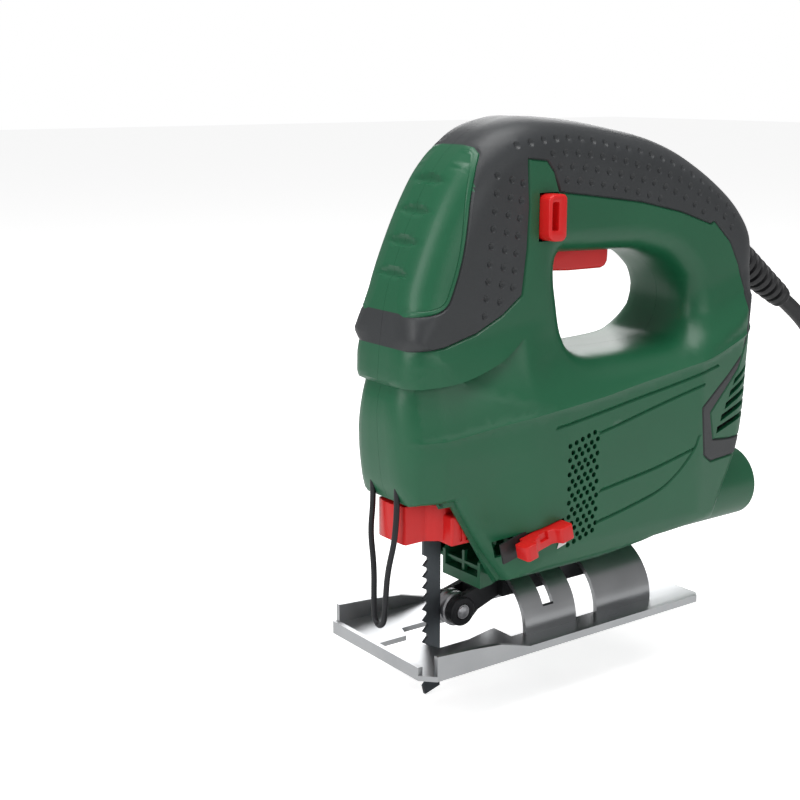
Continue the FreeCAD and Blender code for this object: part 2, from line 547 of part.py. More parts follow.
def build_plunger():
    """The reciprocating rod with its yoke, blade clamp, release collar and blade."""
    top = "blade_tip + blade_length"
    slit = box(("-blade_width / 2 + 0.45", "blade_width / 2 - 0.45"), ("-blade_thick / 2 - fit", "blade_thick / 2 + fit"),
               ("rod_low - 1", f"{top} + 0.3"))
    node("plunger_rod", cut(cylinder("rod_radius", "rod_top - rod_low", "Z", 0, 0, "rod_low"), slit))
    centre = f"{GEAR_Z} - stroke / 2"
    yoke = box(("rod_radius - 1.5", "yoke_end"), ("-yoke_half", "yoke_half"),
               (f"{centre} - yoke_high / 2", f"{centre} + yoke_high / 2"))
    slot = box(("yoke_start + 0.6", "yoke_end + 1"), ("-yoke_half + 1.6", "yoke_half - 1.6"),
               (f"{centre} - slider_size / 2 - 0.05", f"{centre} + slider_size / 2 + 0.05"))
    collar = cylinder("rod_radius + 2", "yoke_high", "Z", 0, 0, f"{centre} - yoke_high / 2")
    bore = cylinder("rod_radius", 60, "Z", 0, 0, f"{centre} - 30")
    node("yoke", cut(fuse(yoke, collar), slot, bore))
    block_solid = box(("yoke_start + 0.6", "yoke_end"), ("-slider_size / 2", "slider_size / 2"),
                      (f"{centre} - slider_size / 2", f"{centre} + slider_size / 2"))
    node("slider_block", cut(block_solid, cylinder("crank_pin + fit", 20, "X", "yoke_start + 2.5", 0, centre)))
    sleeve = ring("clamp_radius", "rod_radius", "clamp_top - rod_low", "Z", 0, 0, "rod_low")
    lip = cut(cylinder("clamp_radius", "rod_low - clamp_low", "Z", 0, 0, "clamp_low"),
              box(("-blade_width / 2 - fit", "blade_width / 2 + fit"), ("-blade_thick / 2 - fit", "blade_thick / 2 + fit"),
                  (30, 60)))
    node("blade_clamp", fuse(sleeve, lip))
    crown = ring("collar_radius", "clamp_radius + fit", "collar_top - collar_low", "Z", 0, 0, "collar_low")
    shield = common(cylinder("collar_front", "collar_top - collar_low + 2.8", "Z", 0, 0, "collar_low - 2.8"),
                    box((-30, -5), (-8.5, 8.5), (30, 70)))
    shield = cut(shield, cylinder("clamp_radius + fit", 60, "Z", 0, 0, 20),
                 cut(box((-30, 0), (-20, 20), (30, "collar_low")), cylinder("collar_front", 60, "Z", 0, 0, 10)))
    lug = cut(box((-3, 10), (-13.5, 0), ("collar_low", "collar_top - 4")), cylinder("clamp_radius + fit", 90, "Z"))
    node("release_collar", fuse(crown, shield, lug))
    node("collar_spring", ring("clamp_radius - 0.1", "rod_radius + 0.1", 2.4, "Z", 0, 0, "clamp_top"))
    build_blade()


def build_blade():
    """A toothed wood blade: teeth point up and forward, the shank goes up into the rod."""
    half, tip = val("blade_width") / 2, val("blade_tip")
    top = tip + val("blade_length")
    pitch, depth = val("tooth_pitch"), val("tooth_depth")
    outline = [(half, tip + 2), (half, top - 20), (half - 0.5, top - 19), (half - 0.5, top), (0.5 - half, top),
               (0.5 - half, top - 19), (-half, top - 20)]
    count = int((top - 24 - tip - 4) / pitch)
    for i in reversed(range(count)):
        z = tip + 4 + i * pitch
        outline += [(-half, z + pitch * 0.92), (depth - half, z + pitch * 0.62), (depth - half, z + pitch * 0.4)]
    outline += [(-half, tip + 3.6), (-half + 1, tip)]
    corners = [Vector(x, -val("blade_thick") / 2, z) for x, z in outline]
    solid = Part.Face(Part.makePolygon(corners + corners[:1])).extrude(Vector(0, val("blade_thick"), 0))
    node("blade", feature(solid))


def toothed(teeth, start, length, centre_z, phase, bore):
    """A spur wheel along X: straight-sided teeth, thinned by the tooth play, phase in tooth pitches."""
    module = val("gear_module")
    pitch_r, outer_r = module * teeth / 2, module * (teeth + 2) / 2
    root_r = module * (teeth - 2.5) / 2
    step = 2 * math.pi / teeth
    loss = val("tooth_play") / pitch_r
    corners = []
    for i in range(teeth):
        mid = (i + phase) * step
        for r, share in ((root_r, -0.34), (pitch_r, -0.25), (outer_r, -0.12), (outer_r, 0.12), (pitch_r, 0.25),
                         (root_r, 0.34)):
            a = mid + share * step - math.copysign(loss / 2, share)
            corners.append(Vector(0, r * math.sin(a), r * math.cos(a)))
    solid = Part.Face(Part.makePolygon(corners + corners[:1])).extrude(Vector(val(length), 0, 0))
    solid = solid.cut(Part.makeCylinder(bore, val(length), Vector(), Vector(1, 0, 0)))
    solid.translate(Vector(val(start), 0, centre_z))
    return solid


def build_gear_train():
    """Pinion on the motor shaft, the large gear above it on a fixed axle, and its crank pin."""
    gear_z = val(GEAR_Z)
    gear = toothed(val_int("gear_teeth"), "gear_start", "gear_face", gear_z, 0.5, val("axle_radius + fit"))
    node("drive_gear", feature(gear.cut(rod_shape("crank_pin", "gear_start", "gear_start + 6", 0,
                                                  f"{GEAR_Z} - stroke / 2"))))
    node("crank_pin", cylinder("crank_pin", "gear_start + 6 - yoke_end - crank_gap", "X", "yoke_end + crank_gap", 0,
                               f"{GEAR_Z} - stroke / 2"))
    node("gear_axle", cylinder("axle_radius", "plate_start + bearing_plate - gear_start", "X", "gear_start", 0, GEAR_Z))
    outline = [(-16, 62.5), (16, 62.5), (21, 72), (21, 108), (12, 122), (-12, 122), (-21, 108), (-21, 72)]
    body = plate("YZ", outline, "bearing_plate", "plate_start + bearing_plate / 2")
    boss = cylinder("front_bearing_radius + 3", "bearing_plate + front_bearing_width + 1", "X", "plate_start", 0,
                    "motor_height")
    seat = cylinder("front_bearing_radius", "front_bearing_width + 2", "X", "plate_start + bearing_plate + 1", 0,
                    "motor_height")
    node("bearing_plate", cut(fuse(body, boss), seat, cylinder(7, 90, "X", 0, 0, "motor_height"),
                              cylinder("axle_radius", 90, "X", 0, 0, GEAR_Z)))
    node("front_bearing", ring("front_bearing_radius", "shaft_radius + fit", "front_bearing_width", "X",
                               "plate_start + bearing_plate + 1", 0, "motor_height"))


def build_motor():
    """Armature on its shaft, the fan, and the wound field round it."""
    z = "motor_height"
    pinion = toothed(val_int("pinion_teeth"), "gear_start", "gear_face + 1", val(z), 0, 0.01)
    shaft = rod_shape("shaft_radius", "gear_start + gear_face + 1", "shaft_rear", 0, z)
    node("armature_shaft", feature(pinion.fuse(shaft)))
    core_end = "core_start + core_length"
    core = cylinder("armature_radius", "core_length", "X", "core_start", 0, z)
    slots = [box(("core_start", core_end), (-0.8, 0.8), (0, 5)) for i in range(12)]
    for i, slot in enumerate(slots):
        turn = Rotation(Vector(1, 0, 0), 30 * i)
        spot = turn.multVec(Vector(0, -0.8, val("armature_radius") - 4))
        slot.Placement = Placement(Vector(), turn)
        slot.setExpression("Placement.Base.x", link("core_start"))
        slot.setExpression("Placement.Base.y", f"{spot.y}")
        slot.setExpression("Placement.Base.z", link(f"motor_height + {spot.z}"))
    node("armature_core", cut(core, *slots, cylinder("shaft_radius", 300, "X", 0, 0, z)))
    ends = [ring("armature_radius - 2", "shaft_radius", "winding_out", "X", x, 0, z)
            for x in ("core_start - winding_out", core_end)]
    node("armature_windings", group(*ends))
    node("commutator", ring("commutator_radius", "shaft_radius", "commutator_length", "X", "commutator_start", 0, z))
    hub = ring(7, "shaft_radius", "fan_width", "X", "fan_start", 0, z)
    disc = ring("fan_radius", "shaft_radius", 1.6, "X", "fan_start + fan_width - 1.6", 0, z)
    blades = []
    for i in range(11):
        turn = Rotation(Vector(1, 0, 0), 360 / 11 * i)
        blade = box(("fan_start + 1", "fan_start + fan_width - 1"), (-0.6, 0.6), (6.5, "fan_radius"))
        spot = turn.multVec(Vector(0, -0.6, 6.5))
        blade.Placement = Placement(Vector(), turn)
        blade.setExpression("Placement.Base.x", link("fan_start + 1"))
        blade.setExpression("Placement.Base.y", f"{spot.y}")
        blade.setExpression("Placement.Base.z", link(f"motor_height + {spot.z}"))
        blades.append(blade)
    node("fan", fuse(hub, disc, *blades))
    bore = cylinder("armature_radius + air_gap", 300, "X", 0, 0, z)
    body = box(("core_start", core_end), ("-core_half", "core_half"), ("motor_height - core_half",
                                                                       "motor_height + core_half"))
    windows = [box((0, 300), (-15.5, 15.5), (f"motor_height {a}", f"motor_height {b}"))
               for a, b in (("- 19", "- 15"), ("+ 15", "+ 19"))]
    node("field_core", cut(body, bore, *windows))
    coils = []
    for a, b in (("- 19", "- 15"), ("+ 15", "+ 19")):
        coil = box(("core_start - 7", f"{core_end} + 7"), (-15.4, 15.4), (f"motor_height {a} + 0.1",
                                                                          f"motor_height {b} - 0.1"))
        coils.append(coil)
    node("field_coils", group(*coils))
    x = "rear_bearing_start"
    node("rear_bearing", ring("rear_bearing_radius", "shaft_radius + fit", "rear_bearing_width", "X", x, 0, z))
    node("bearing_cushion", ring("rear_bearing_radius + cushion", "rear_bearing_radius", "rear_bearing_width", "X", x,
                                 0, z))
    mid = "commutator_start + commutator_length / 2"
    springs = []
    for name, side in (("left", -1), ("right", 1)):
        low = "commutator_radius + 0.05"
        span = (f"-({low} + brush_length)", f"-({low})") if side < 0 else (low, f"{low} + brush_length")
        reach = "(body_half - wall - 0.24 * (body_half - rear_half))"
        holder = (f"-{reach}", f"-({low} + 1.5)") if side < 0 else (f"{low} + 1.5", reach)
        spring = (f"-({low} + brush_length + 5)", f"-({low} + brush_length)") if side < 0 else (
            f"{low} + brush_length", f"{low} + brush_length + 5")
        x_span = (f"{mid} - brush_width / 2", f"{mid} + brush_width / 2")
        z_span = ("motor_height - brush_height / 2", "motor_height + brush_height / 2")
        node(f"{name}_brush", box(x_span, span, z_span))
        wide = [(f"{a} - holder_wall", f"{b} + holder_wall") for a, b in (x_span, z_span)]
        node(f"{name}_brush_holder", cut(box(wide[0], holder, wide[1]), box(x_span, (-60, 60), z_span)))
        springs.append(cylinder(2.4, 5, "Y", mid, spring[0], "motor_height"))
    node("brush_springs", group(*springs))


def build_guides():
    for name in ("lower", "upper"):
        low = f"{name}_bush_low"
        node(f"{name}_bush", ring("bush_radius", "rod_radius + fit", "bush_length", "Z", 0, 0, low))
    node("rod_seal", ring("bush_radius", "rod_radius + 0.1", 1, "Z", 0, 0, "lower_bush_low + bush_length + 0.1"))
    x = "fan_start + fan_width + 1"
    node("fan_baffle", ring("baffle_radius", 13, 2, "X", x, 0, "motor_height"))


def build_controls():
    """Trigger, lock button, blower selector, switch and wiring parts."""
    body = plate("XZ", [("trigger_front", "trigger_low + 2"), ("trigger_front + 2", "trigger_low + 0.5"),
                        (60, "trigger_low"), ("trigger_rear - 4", "trigger_low - 0.5"),
                        ("trigger_rear", "trigger_low + 2"), ("trigger_rear", "trigger_high"),
                        ("trigger_front", "trigger_high")], "2 * trigger_half")
    node("trigger", cut(body, cylinder(3.2, 6, "Z", 62, 0, "trigger_high - 5.5")))
    node("trigger_spring", ring(3, 2.2, "trigger_travel + 6.4", "Z", 62, 0, "trigger_high - 5.4"))
    node("switch_body", box((44, 78), (-9, 9), ("trigger_high + trigger_travel + 1.1", "switch_top")))
    node("lock_button", fuse(box(("lock_x - 4.3", "lock_x + 4.3"), (-26, -14.5), ("lock_z - 8.5", "lock_z + 8.5")),
                             cylinder(2.5, 8, "Y", "lock_x", -14.6, "lock_z - 3")))
    node("lock_spring", ring(3.4, 2.7, 6, "Y", "lock_x", -14.4, "lock_z - 3"))
    slope = Rotation(Vector(0, 1, 0), -val("lever_slope"))
    grip = Part.makeBox(val("lever_length"), 6, 6, Vector(-val("lever_length"), -35, -3))
    front = Part.makeBox(6, 2, 6, Vector(-val("lever_length"), -37, -3))
    rear = Part.makeBox(8, 2, 6, Vector(-8, -37, -3))
    stem = Part.makeBox(14, 9.6, 4, Vector(-20, -30, -2))
    lever = grip.fuse(front).fuse(rear).fuse(stem)
    lever.Placement = Placement(Vector(val("lever_rear"), 0, val("lever_z")), slope)
    node("blower_selector", feature(lever))
    node("capacitor", cylinder(6, 18, "X", 84, 0, 171.7))
    node("motor_leads", feature(motor_lead_shape(0)))
    node("supply_leads", feature(supply_lead_shape(0)))
    clamp_holes = [cylinder(1.5, 14, "Z", 132, f"{side} * 7.5", 147) for side in (-1, 1)]
    node("cord_clamp", cut(box((128, 136), (-11, 11), (157.7, 160)), *clamp_holes))
    screws = [fuse(cylinder(1.5, 14, "Z", 132, f"{side} * 7.5", 147), cylinder(2.8, 1.8, "Z", 132, f"{side} * 7.5", 160))
              for side in (-1, 1)]
    node("cord_clamp_screws", group(*screws))


def motor_lead_shape(gap):
    """Leads from the switch, down the heel, to the brush holders."""
    return pipe_shape([(78.6, 7, 160.8), (100, 7, 156), (122, 7, 149), (137, 7.5, 132), (140, 7, 112),
                       (131, 6, 96)], 1.4 + gap)


def supply_lead_shape(gap):
    """The cord's inner end, from the boot to the switch."""
    start, run = Vector(val("boot_x"), 0, val("boot_z")), BOOT_TURN.multVec(Vector(0, 0, 1))
    return pipe_shape([tuple(start), tuple(start - run * 14), (115, -3, 156.5), (97, -4, 158), (79, -3, 163)],
                      3.2 + gap)


def pipe_shape(points, radius, closed=False):
    """Straight runs joined by tangent arcs, as wide as their runs allow, swept with a round section."""
    spots = [Vector(*p) for p in points]
    edges, start, radii = [], spots[0], []
    for before, corner, after in zip(spots, spots[1:], spots[2:]):
        back, ahead = before - corner, after - corner
        reach = 0.45 * min(back.Length, ahead.Length)
        back.normalize()
        ahead.normalize()
        turn = math.pi - back.getAngle(ahead)
        first, last = corner + back * reach, corner + ahead * reach
        bend = reach / math.tan(turn / 2)
        radii.append(bend)
        to_centre = (back + ahead).normalize()
        middle = corner + to_centre * (bend / math.cos(turn / 2) - bend)
        edges.append(Part.LineSegment(start, first).toShape())
        edges.append(Part.Arc(first, middle, last).toShape())
        start = last
    edges.append(Part.LineSegment(start, spots[-1]).toShape())
    path = Part.Wire(edges)
    circle = Part.Wire(Part.Circle(spots[0], spots[1] - spots[0], radius).toShape())
    solid = path.makePipeShell([circle], True, False)
    share = solid.Volume / (math.pi * radius ** 2 * path.Length)
    print(f"pipe: length {path.Length:.1f}, least radius {min(radii):.1f}, volume share {share:.4f}")
    return solid


CORD_ROUTE = [(194.97, 0, 114.9), (213.4, 0, 102.9), (229, 3, 86), (240, 8, 63), (246, 12, 38),
              (250, 12, 14), (255, 5, -6), (263, -10, -16.5), (273, -31.5, -18.4)]


def build_cord():
    """Boot, free cord, its coil put away behind, and the plug that lies on the coil."""
    boot = doc.addObject("Part::Cone", "Boot")
    bind(boot, Radius1="boot_radius", Radius2="boot_tip", Height="boot_length")
    put(boot, "boot_x", 0, "boot_z", BOOT_TURN)
    node("cord_boot", boot)
    node("cord", feature(pipe_shape(CORD_ROUTE, val("cord_radius"))))
    coil = ring("coil_radius + 10.5", "coil_radius - 10.5", "2 * coil_half", "Z", "coil_x", "coil_y", "floor")
    node("cord_coil", coil)
    node("plug_body", box(("coil_x - 20", "coil_x + 20"), ("plug_y - 14", "plug_y + 14"),
                          ("floor + 2 * coil_half", "floor + 2 * coil_half + 15")))
    pins = [cylinder(2.4, 19, "X", "coil_x + 20", f"plug_y + {side} * 9.5", "floor + 2 * coil_half + 7.5")
            for side in (-1, 1)]
    node("plug_pins", group(*pins))


def build_guard_wire():
    half = [(val("wire_x"), val("wire_half"), 66), (val("wire_x"), val("wire_half"), 57), (-22.6, 7.6, 46),
            (-23.4, 4.2, 33), (-24, 3.6, 20), (-24.2, 2.9, 13.4)]
    other = [(x, -y, z) for x, y, z in reversed(half)]
    node("guard_wire", feature(pipe_shape(half + [(-24.2, 0, 11.2)] + other, val("wire_radius"))))


build_housing()
build_dust_duct()
build_base_plate()
build_roller_carrier()
build_plunger()
build_gear_train()
build_motor()
build_guides()
build_controls()
build_cord()
build_guard_wire()
doc.recompute()

bad = [thing.Name for thing in doc.Objects if {"Invalid", "Error"} & set(thing.State)]
bad += [thing.Label for thing in NODES if thing.Shape.isNull() or not thing.Shape.isValid()]
if bad:
    raise SystemExit(f"failed: {bad}")
os.makedirs("parts", exist_ok=True)
for thing in NODES:
    thing.Shape.exportStep(f"parts/{thing.Label}.step")
print(len(NODES), "nodes written")
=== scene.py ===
import json
import math
import bmesh
import bpy
import numpy as np
from mathutils import Matrix, Vector
from mathutils.geometry import delaunay_2d_cdt


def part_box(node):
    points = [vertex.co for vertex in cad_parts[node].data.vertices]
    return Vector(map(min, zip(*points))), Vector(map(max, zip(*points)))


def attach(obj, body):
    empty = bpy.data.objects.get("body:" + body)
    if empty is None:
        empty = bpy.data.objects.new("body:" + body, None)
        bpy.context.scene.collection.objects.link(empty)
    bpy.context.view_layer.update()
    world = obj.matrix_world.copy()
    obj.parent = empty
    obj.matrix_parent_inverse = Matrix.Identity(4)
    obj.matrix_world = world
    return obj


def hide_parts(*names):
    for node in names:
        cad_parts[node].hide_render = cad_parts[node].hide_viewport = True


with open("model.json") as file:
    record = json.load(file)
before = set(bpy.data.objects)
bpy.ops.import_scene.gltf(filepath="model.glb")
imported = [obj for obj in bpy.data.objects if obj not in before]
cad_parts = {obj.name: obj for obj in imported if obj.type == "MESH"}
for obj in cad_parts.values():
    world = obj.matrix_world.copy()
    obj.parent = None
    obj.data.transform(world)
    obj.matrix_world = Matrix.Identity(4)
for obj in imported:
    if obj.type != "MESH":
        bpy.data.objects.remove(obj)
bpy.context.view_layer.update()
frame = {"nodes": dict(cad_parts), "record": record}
MM = 0.001
scene = bpy.context.scene
scene.view_settings.view_transform = "Standard"
bpy.ops.object.select_all(action="DESELECT")


# ---- camera, floor and light ----------------------------------------------------------------

def make_camera():
    """Looks at the tool from its front left, a little from above."""
    data = bpy.data.cameras.new("camera")
    data.sensor_width = 36
    data.lens = 63
    data.clip_end = 50
    camera = bpy.data.objects.new("camera", data)
    camera.location = (-0.3055, -0.3995, 0.2098)
    look = Vector((0.5737, 0.7879, -0.2239))
    camera.rotation_euler = look.to_track_quat("-Z", "Y").to_euler()
    scene.collection.objects.link(camera)
    scene.camera = camera


def make_floor(level):
    bpy.ops.mesh.primitive_plane_add(size=12, location=(0, 0, level))
    floor = bpy.context.object
    floor.name = "floor"
    floor.data.materials.append(floor_paint())
    floor.select_set(False)


def add_lamp(name, place, target, size, power):
    data = bpy.data.lights.new(name, "AREA")
    data.shape = "RECTANGLE"
    data.size, data.size_y = size
    data.energy = power
    lamp = bpy.data.objects.new(name, data)
    lamp.location = place
    lamp.rotation_euler = (Vector(target) - Vector(place)).to_track_quat("-Z", "Y").to_euler()
    scene.collection.objects.link(lamp)


def make_lights():
    middle = (0.06, 0, 0.1)
    add_lamp("top_lamp", (0.02, -0.05, 1.15), middle, (0.9, 0.7), 9)
    add_lamp("front_lamp", (-1.05, -0.1, 0.6), middle, (0.5, 0.9), 4.5)
    add_lamp("side_lamp", (0.1, -1.25, 0.5), middle, (1.0, 0.5), 2.2)
    add_lamp("back_lamp", (0.75, 0.8, 0.6), middle, (0.6, 0.8), 4)
    world = bpy.data.worlds.new("studio")
    scene.world = world
    world.use_nodes = True
    tree = world.node_tree
    back = tree.nodes["Background"]
    back.inputs["Color"].default_value = (1, 1, 1, 1)
    back.inputs["Strength"].default_value = 0.3
    seen = tree.nodes.new("ShaderNodeLightPath")
    white = tree.nodes.new("ShaderNodeBackground")
    white.inputs["Color"].default_value = (1, 1, 1, 1)
    mix = tree.nodes.new("ShaderNodeMixShader")
    tree.links.new(seen.outputs["Is Camera Ray"], mix.inputs[0])
    tree.links.new(back.outputs[0], mix.inputs[1])
    tree.links.new(white.outputs[0], mix.inputs[2])
    tree.links.new(mix.outputs[0], tree.nodes["World Output"].inputs[0])


# ---- finishes -------------------------------------------------------------------------------

class Value:
    """A number or colour that changes over a surface; arithmetic on it adds Math nodes."""

    def __init__(self, finish, socket):
        self.finish = finish
        self.socket = socket

    def math(self, operation, a, b):
        return self.finish.node("ShaderNodeMath", {"operation": operation}, {0: a, 1: b})

    def __add__(self, other):
        return self.math("ADD", self, other)

    def __radd__(self, other):
        return self.math("ADD", other, self)

    def __sub__(self, other):
        return self.math("SUBTRACT", self, other)

    def __rsub__(self, other):
        return self.math("SUBTRACT", other, self)

    def __mul__(self, other):
        return self.math("MULTIPLY", self, other)

    def __rmul__(self, other):
        return self.math("MULTIPLY", other, self)

    def __pow__(self, other):
        return self.math("POWER", self, other)

    def over(self, other):
        return self.math("GREATER_THAN", self, other)


class Finish:
    """A procedural material on Object coordinates, in metres."""

    def __init__(self, name, **constants):
        self.material = bpy.data.materials.new(name)
        self.material.use_nodes = True
        self.tree = self.material.node_tree
        self.shader = self.tree.nodes["Principled BSDF"]
        for socket, value in constants.items():
            self.shader.inputs[socket.replace("_", " ").title()].default_value = value
        self.place = self.node("ShaderNodeTexCoord", out="Object")

    def node(self, kind, settings=None, sockets=None, out=0):
        node = self.tree.nodes.new(kind)
        for name, value in (settings or {}).items():
            setattr(node, name, value)
        for name, value in (sockets or {}).items():
            self.feed(node.inputs[name], value)
        return Value(self, node.outputs[out])

    def feed(self, socket, value):
        if isinstance(value, Value):
            self.tree.links.new(value.socket, socket)
        else:
            socket.default_value = value

    def noise(self, scale, detail=3, rough=0.5, place=None):
        return self.node("ShaderNodeTexNoise", None,
                         {"Vector": place or self.place, "Scale": scale, "Detail": detail, "Roughness": rough})

    def stretched(self, x, y, z):
        """Object coordinates squeezed along each axis, for brushed or drawn metal."""
        return self.node("ShaderNodeMapping", None, {"Vector": self.place, "Scale": (x, y, z)})

    def blend(self, mask, low, high):
        """A colour between two others."""
        return self.node("ShaderNodeMix", {"data_type": "RGBA"}, {0: mask, 6: low, 7: high}, out=2)

    def set(self, socket, value):
        self.feed(self.shader.inputs[socket], value)

    def bump(self, height, depth, strength=1.0):
        self.set("Normal", self.node("ShaderNodeBump", None,
                                     {"Strength": strength, "Distance": depth, "Height": height}))


def colour(r, g, b):
    return (r, g, b, 1)


def floor_paint():
    finish = Finish("floor_paint", roughness=0.9, base_color=colour(0.9, 0.9, 0.9))
    tree = finish.tree
    seen = tree.nodes.new("ShaderNodeLightPath")
    glow = tree.nodes.new("ShaderNodeEmission")
    glow.inputs["Strength"].default_value = 0.66
    add = tree.nodes.new("ShaderNodeAddShader")
    mix = tree.nodes.new("ShaderNodeMixShader")
    tree.links.new(finish.shader.outputs[0], add.inputs[0])
    tree.links.new(glow.outputs[0], add.inputs[1])
    tree.links.new(seen.outputs["Is Camera Ray"], mix.inputs[0])
    tree.links.new(finish.shader.outputs[0], mix.inputs[1])
    tree.links.new(add.outputs[0], mix.inputs[2])
    tree.links.new(mix.outputs[0], tree.nodes["Material Output"].inputs[0])
    return finish.material


def moulded(name, base, rough=0.34, grain=0.00002, coat=0.0):
    """Moulded plastic: fine spark-eroded grain, faint mottling, a slightly uneven gloss."""
    finish = Finish(name, coat_weight=coat)
    cloud = finish.noise(35, 4)
    grit = finish.noise(2600, 2)
    dark = colour(*(0.86 * c for c in base))
    light = colour(*(min(1, 1.1 * c) for c in base))
    finish.set("Base Color", finish.blend(cloud, dark, light))
    finish.set("Roughness", rough - 0.05 + cloud * 0.08 + grit * 0.06)
    finish.bump(grit, grain)
    return finish.material


def soft_rubber(name, base, rough=0.42):
    """Soft over-moulded grip: matt, with a fine leathery grain and a little dust grey."""
    finish = Finish(name)
    cloud = finish.noise(60, 5)
    grit = finish.noise(1900, 3)
    finish.set("Base Color", finish.blend(cloud, colour(*(0.8 * c for c in base)), colour(*(1.25 * c for c in base))))
    finish.set("Roughness", rough - 0.06 + grit * 0.16)
    finish.bump(grit, 0.00004)
    return finish.material


def pressed_steel(name):
    """Bright zinc-plated sheet with rolling marks and fine scratches."""
    finish = Finish(name, metallic=1.0)
    rolled = finish.noise(900, 3, place=finish.stretched(0.04, 1, 1))
    cloud = finish.noise(45, 4)
    finish.set("Base Color", finish.blend(cloud, colour(0.36, 0.37, 0.385), colour(0.55, 0.56, 0.57)))
    finish.set("Roughness", 0.2 + cloud * 0.12 + rolled * 0.1)
    finish.bump(rolled, 0.000012)
    return finish.material


def worked_steel(name, base, rough=0.3, metallic=1.0, scale=1200):
    finish = Finish(name, metallic=metallic)
    grit = finish.noise(scale, 3)
    cloud = finish.noise(80, 4)
    finish.set("Base Color", finish.blend(cloud, colour(*(0.75 * c for c in base)), colour(*(1.2 * c for c in base))))
    finish.set("Roughness", rough - 0.05 + cloud * 0.12 + grit * 0.06)
    finish.bump(grit, 0.00001)
    return finish.material


GREEN = (0.012, 0.118, 0.052)
DARK = (0.034, 0.037, 0.04)
RED = (0.74, 0.012, 0.012)


def make_paints():
    return {
        "green_plastic": moulded("green_plastic", GREEN),
        "soft_grip": soft_rubber("soft_grip", DARK),
        "red_plastic": moulded("red_plastic", RED, 0.3),
        "bright_steel": pressed_steel("bright_steel"),
        "black_steel": worked_steel("black_steel", (0.03, 0.031, 0.034), 0.36, 0.6),
        "blade_steel": worked_steel("blade_steel", (0.09, 0.1, 0.11), 0.36),
        "plain_steel": worked_steel("plain_steel", (0.5, 0.5, 0.52), 0.28),
        "aluminium": worked_steel("aluminium", (0.65, 0.66, 0.68), 0.4, scale=500),
        "copper": worked_steel("copper", (0.6, 0.27, 0.12), 0.35, scale=700),
        "brass": worked_steel("brass", (0.75, 0.55, 0.25), 0.3),
        "bronze": worked_steel("bronze", (0.45, 0.3, 0.15), 0.45),
        "black_plastic": moulded("black_plastic", (0.02, 0.02, 0.021), 0.45),
        "grey_plastic": moulded("grey_plastic", (0.3, 0.3, 0.31), 0.45),
        "carbon": moulded("carbon", (0.03, 0.03, 0.03), 0.6),
        "cord_rubber": soft_rubber("cord_rubber", (0.018, 0.018, 0.02), 0.5),
        "felt": soft_rubber("felt", (0.35, 0.33, 0.28), 0.9),
        "white_print": moulded("white_print", (0.8, 0.8, 0.8), 0.5),
    }


def paint(piece, material):
    piece.data.materials.clear()
    piece.data.materials.append(material)


# ---- the housing's side, in millimetres -----------------------------------------------------

NOSE_AND_BACK = [(-20, 60), (-22.6, 66), (-23.9, 74), (-24.6, 84), (-24.9, 92), (-24.3, 99), (-22.9, 103.4),
                 (-24.5, 105.2), (-24.3, 110), (-23.4, 120), (-20.6, 136), (-15, 151), (-7.5, 166.5), (0.5, 179),
                 (10, 188), (20, 193.8), (32, 196.4), (46, 195.9), (62, 194.1), (79, 191.2), (94, 188.2),
                 (109, 183), (123, 176), (136, 168), (146, 160), (153, 151.5), (156, 143), (156.3, 128),
                 (155, 112), (153.8, 98), (152, 86), (148.5, 72.5), (143, 60.5)]
UNDERSIDE = [(143, 60.5), (132, 44), (125, 32), (90, 31), (62, 26), (17, 26.5), (-4, 60.3), (-20, 60)]
HAND_HOLE = [(45, 142.5), (45.2, 136), (46.5, 128.5), (48.4, 119), (52, 111), (59, 107.6), (70, 106.7), (84, 106.5),
             (99, 106.8), (107, 108), (111, 110.5), (114.6, 116), (116, 123.5), (114, 131), (109, 136.5),
             (103, 140.6), (96, 143), (88, 144.9), (80, 145.5), (64, 146), (50, 146.5), (46.3, 145.8)]
SKIN_EDGE = [(-60, 117), (-22, 117), (-10, 118), (4, 121.5), (16, 127), (25, 133.5), (27.2, 150), (28, 165),
             (27, 182), (36, 181), (39.5, 177), (42.4, 169.5), (60, 167.3), (84.6, 163.9), (106.7, 159),
             (124, 153.3), (126, 154.3), (136, 145.4), (141.5, 136), (145, 125.5), (144.5, 112), (140, 100),
             (130, 92.5), (112.5, 81.5), (115, 61.5), (120, 58), (170, 58), (170, 65), (133, 65.5), (121, 67),
             (118.2, 78.6), (127.5, 86), (136.5, 93.6), (143.5, 105), (149, 113), (170, 121), (170, 230), (-60, 230)]
PAD_EDGE = [(-60, 128.6), (-24, 128.6), (-14, 130), (-9, 132.4), (-6, 138), (-2, 149.5), (2.2, 168), (6, 178),
            (9.4, 184), (9.4, 186.2), (7.4, 187.3), (-60, 187.3)]
BAND_EDGE = [(-40, 103.8), (-22.8, 103.8), (-10.7, 104.9), (0, 106.6), (11.5, 110), (20, 114), (25.9, 118)]
RIDGE = [(-40, 84.4), (-14.9, 84.4), (-3.5, 85.8), (12.9, 88.5), (26.2, 90.3), (41.2, 92.1), (57.9, 93.7),
         (73.9, 96), (91.9, 98.3), (113.5, 101), (128, 104), (150, 110)]
SIDE_GROOVES = [
    [(35, 84.5), (54.5, 87.3), (74, 90.2), (98, 93.6), (114, 96.2), (122, 97.4)],
    [(57, 79.8), (70, 82.4), (83, 85.2), (98, 88.2), (113, 91)],
    [(57.6, 57), (69.7, 58.6), (88, 61.2), (108.8, 65.5)],
    [(55.8, 44.6), (72, 47.4), (88.7, 51.2), (98, 55.8), (104.5, 61), (108.8, 65.5), (111, 70)],
]
NOSE_CREASE = 77
VENT_RADIUS = 1.05
LOCK_HOLE = [(32.4, 152.2), (41.6, 152.2), (41.6, 169.8), (32.4, 169.8)]
TRIGGER_HOLE = (45.7, 80.3, 8.3)
RECESS_HALF = 17
WALL = 1.8
SEAM = 0.04


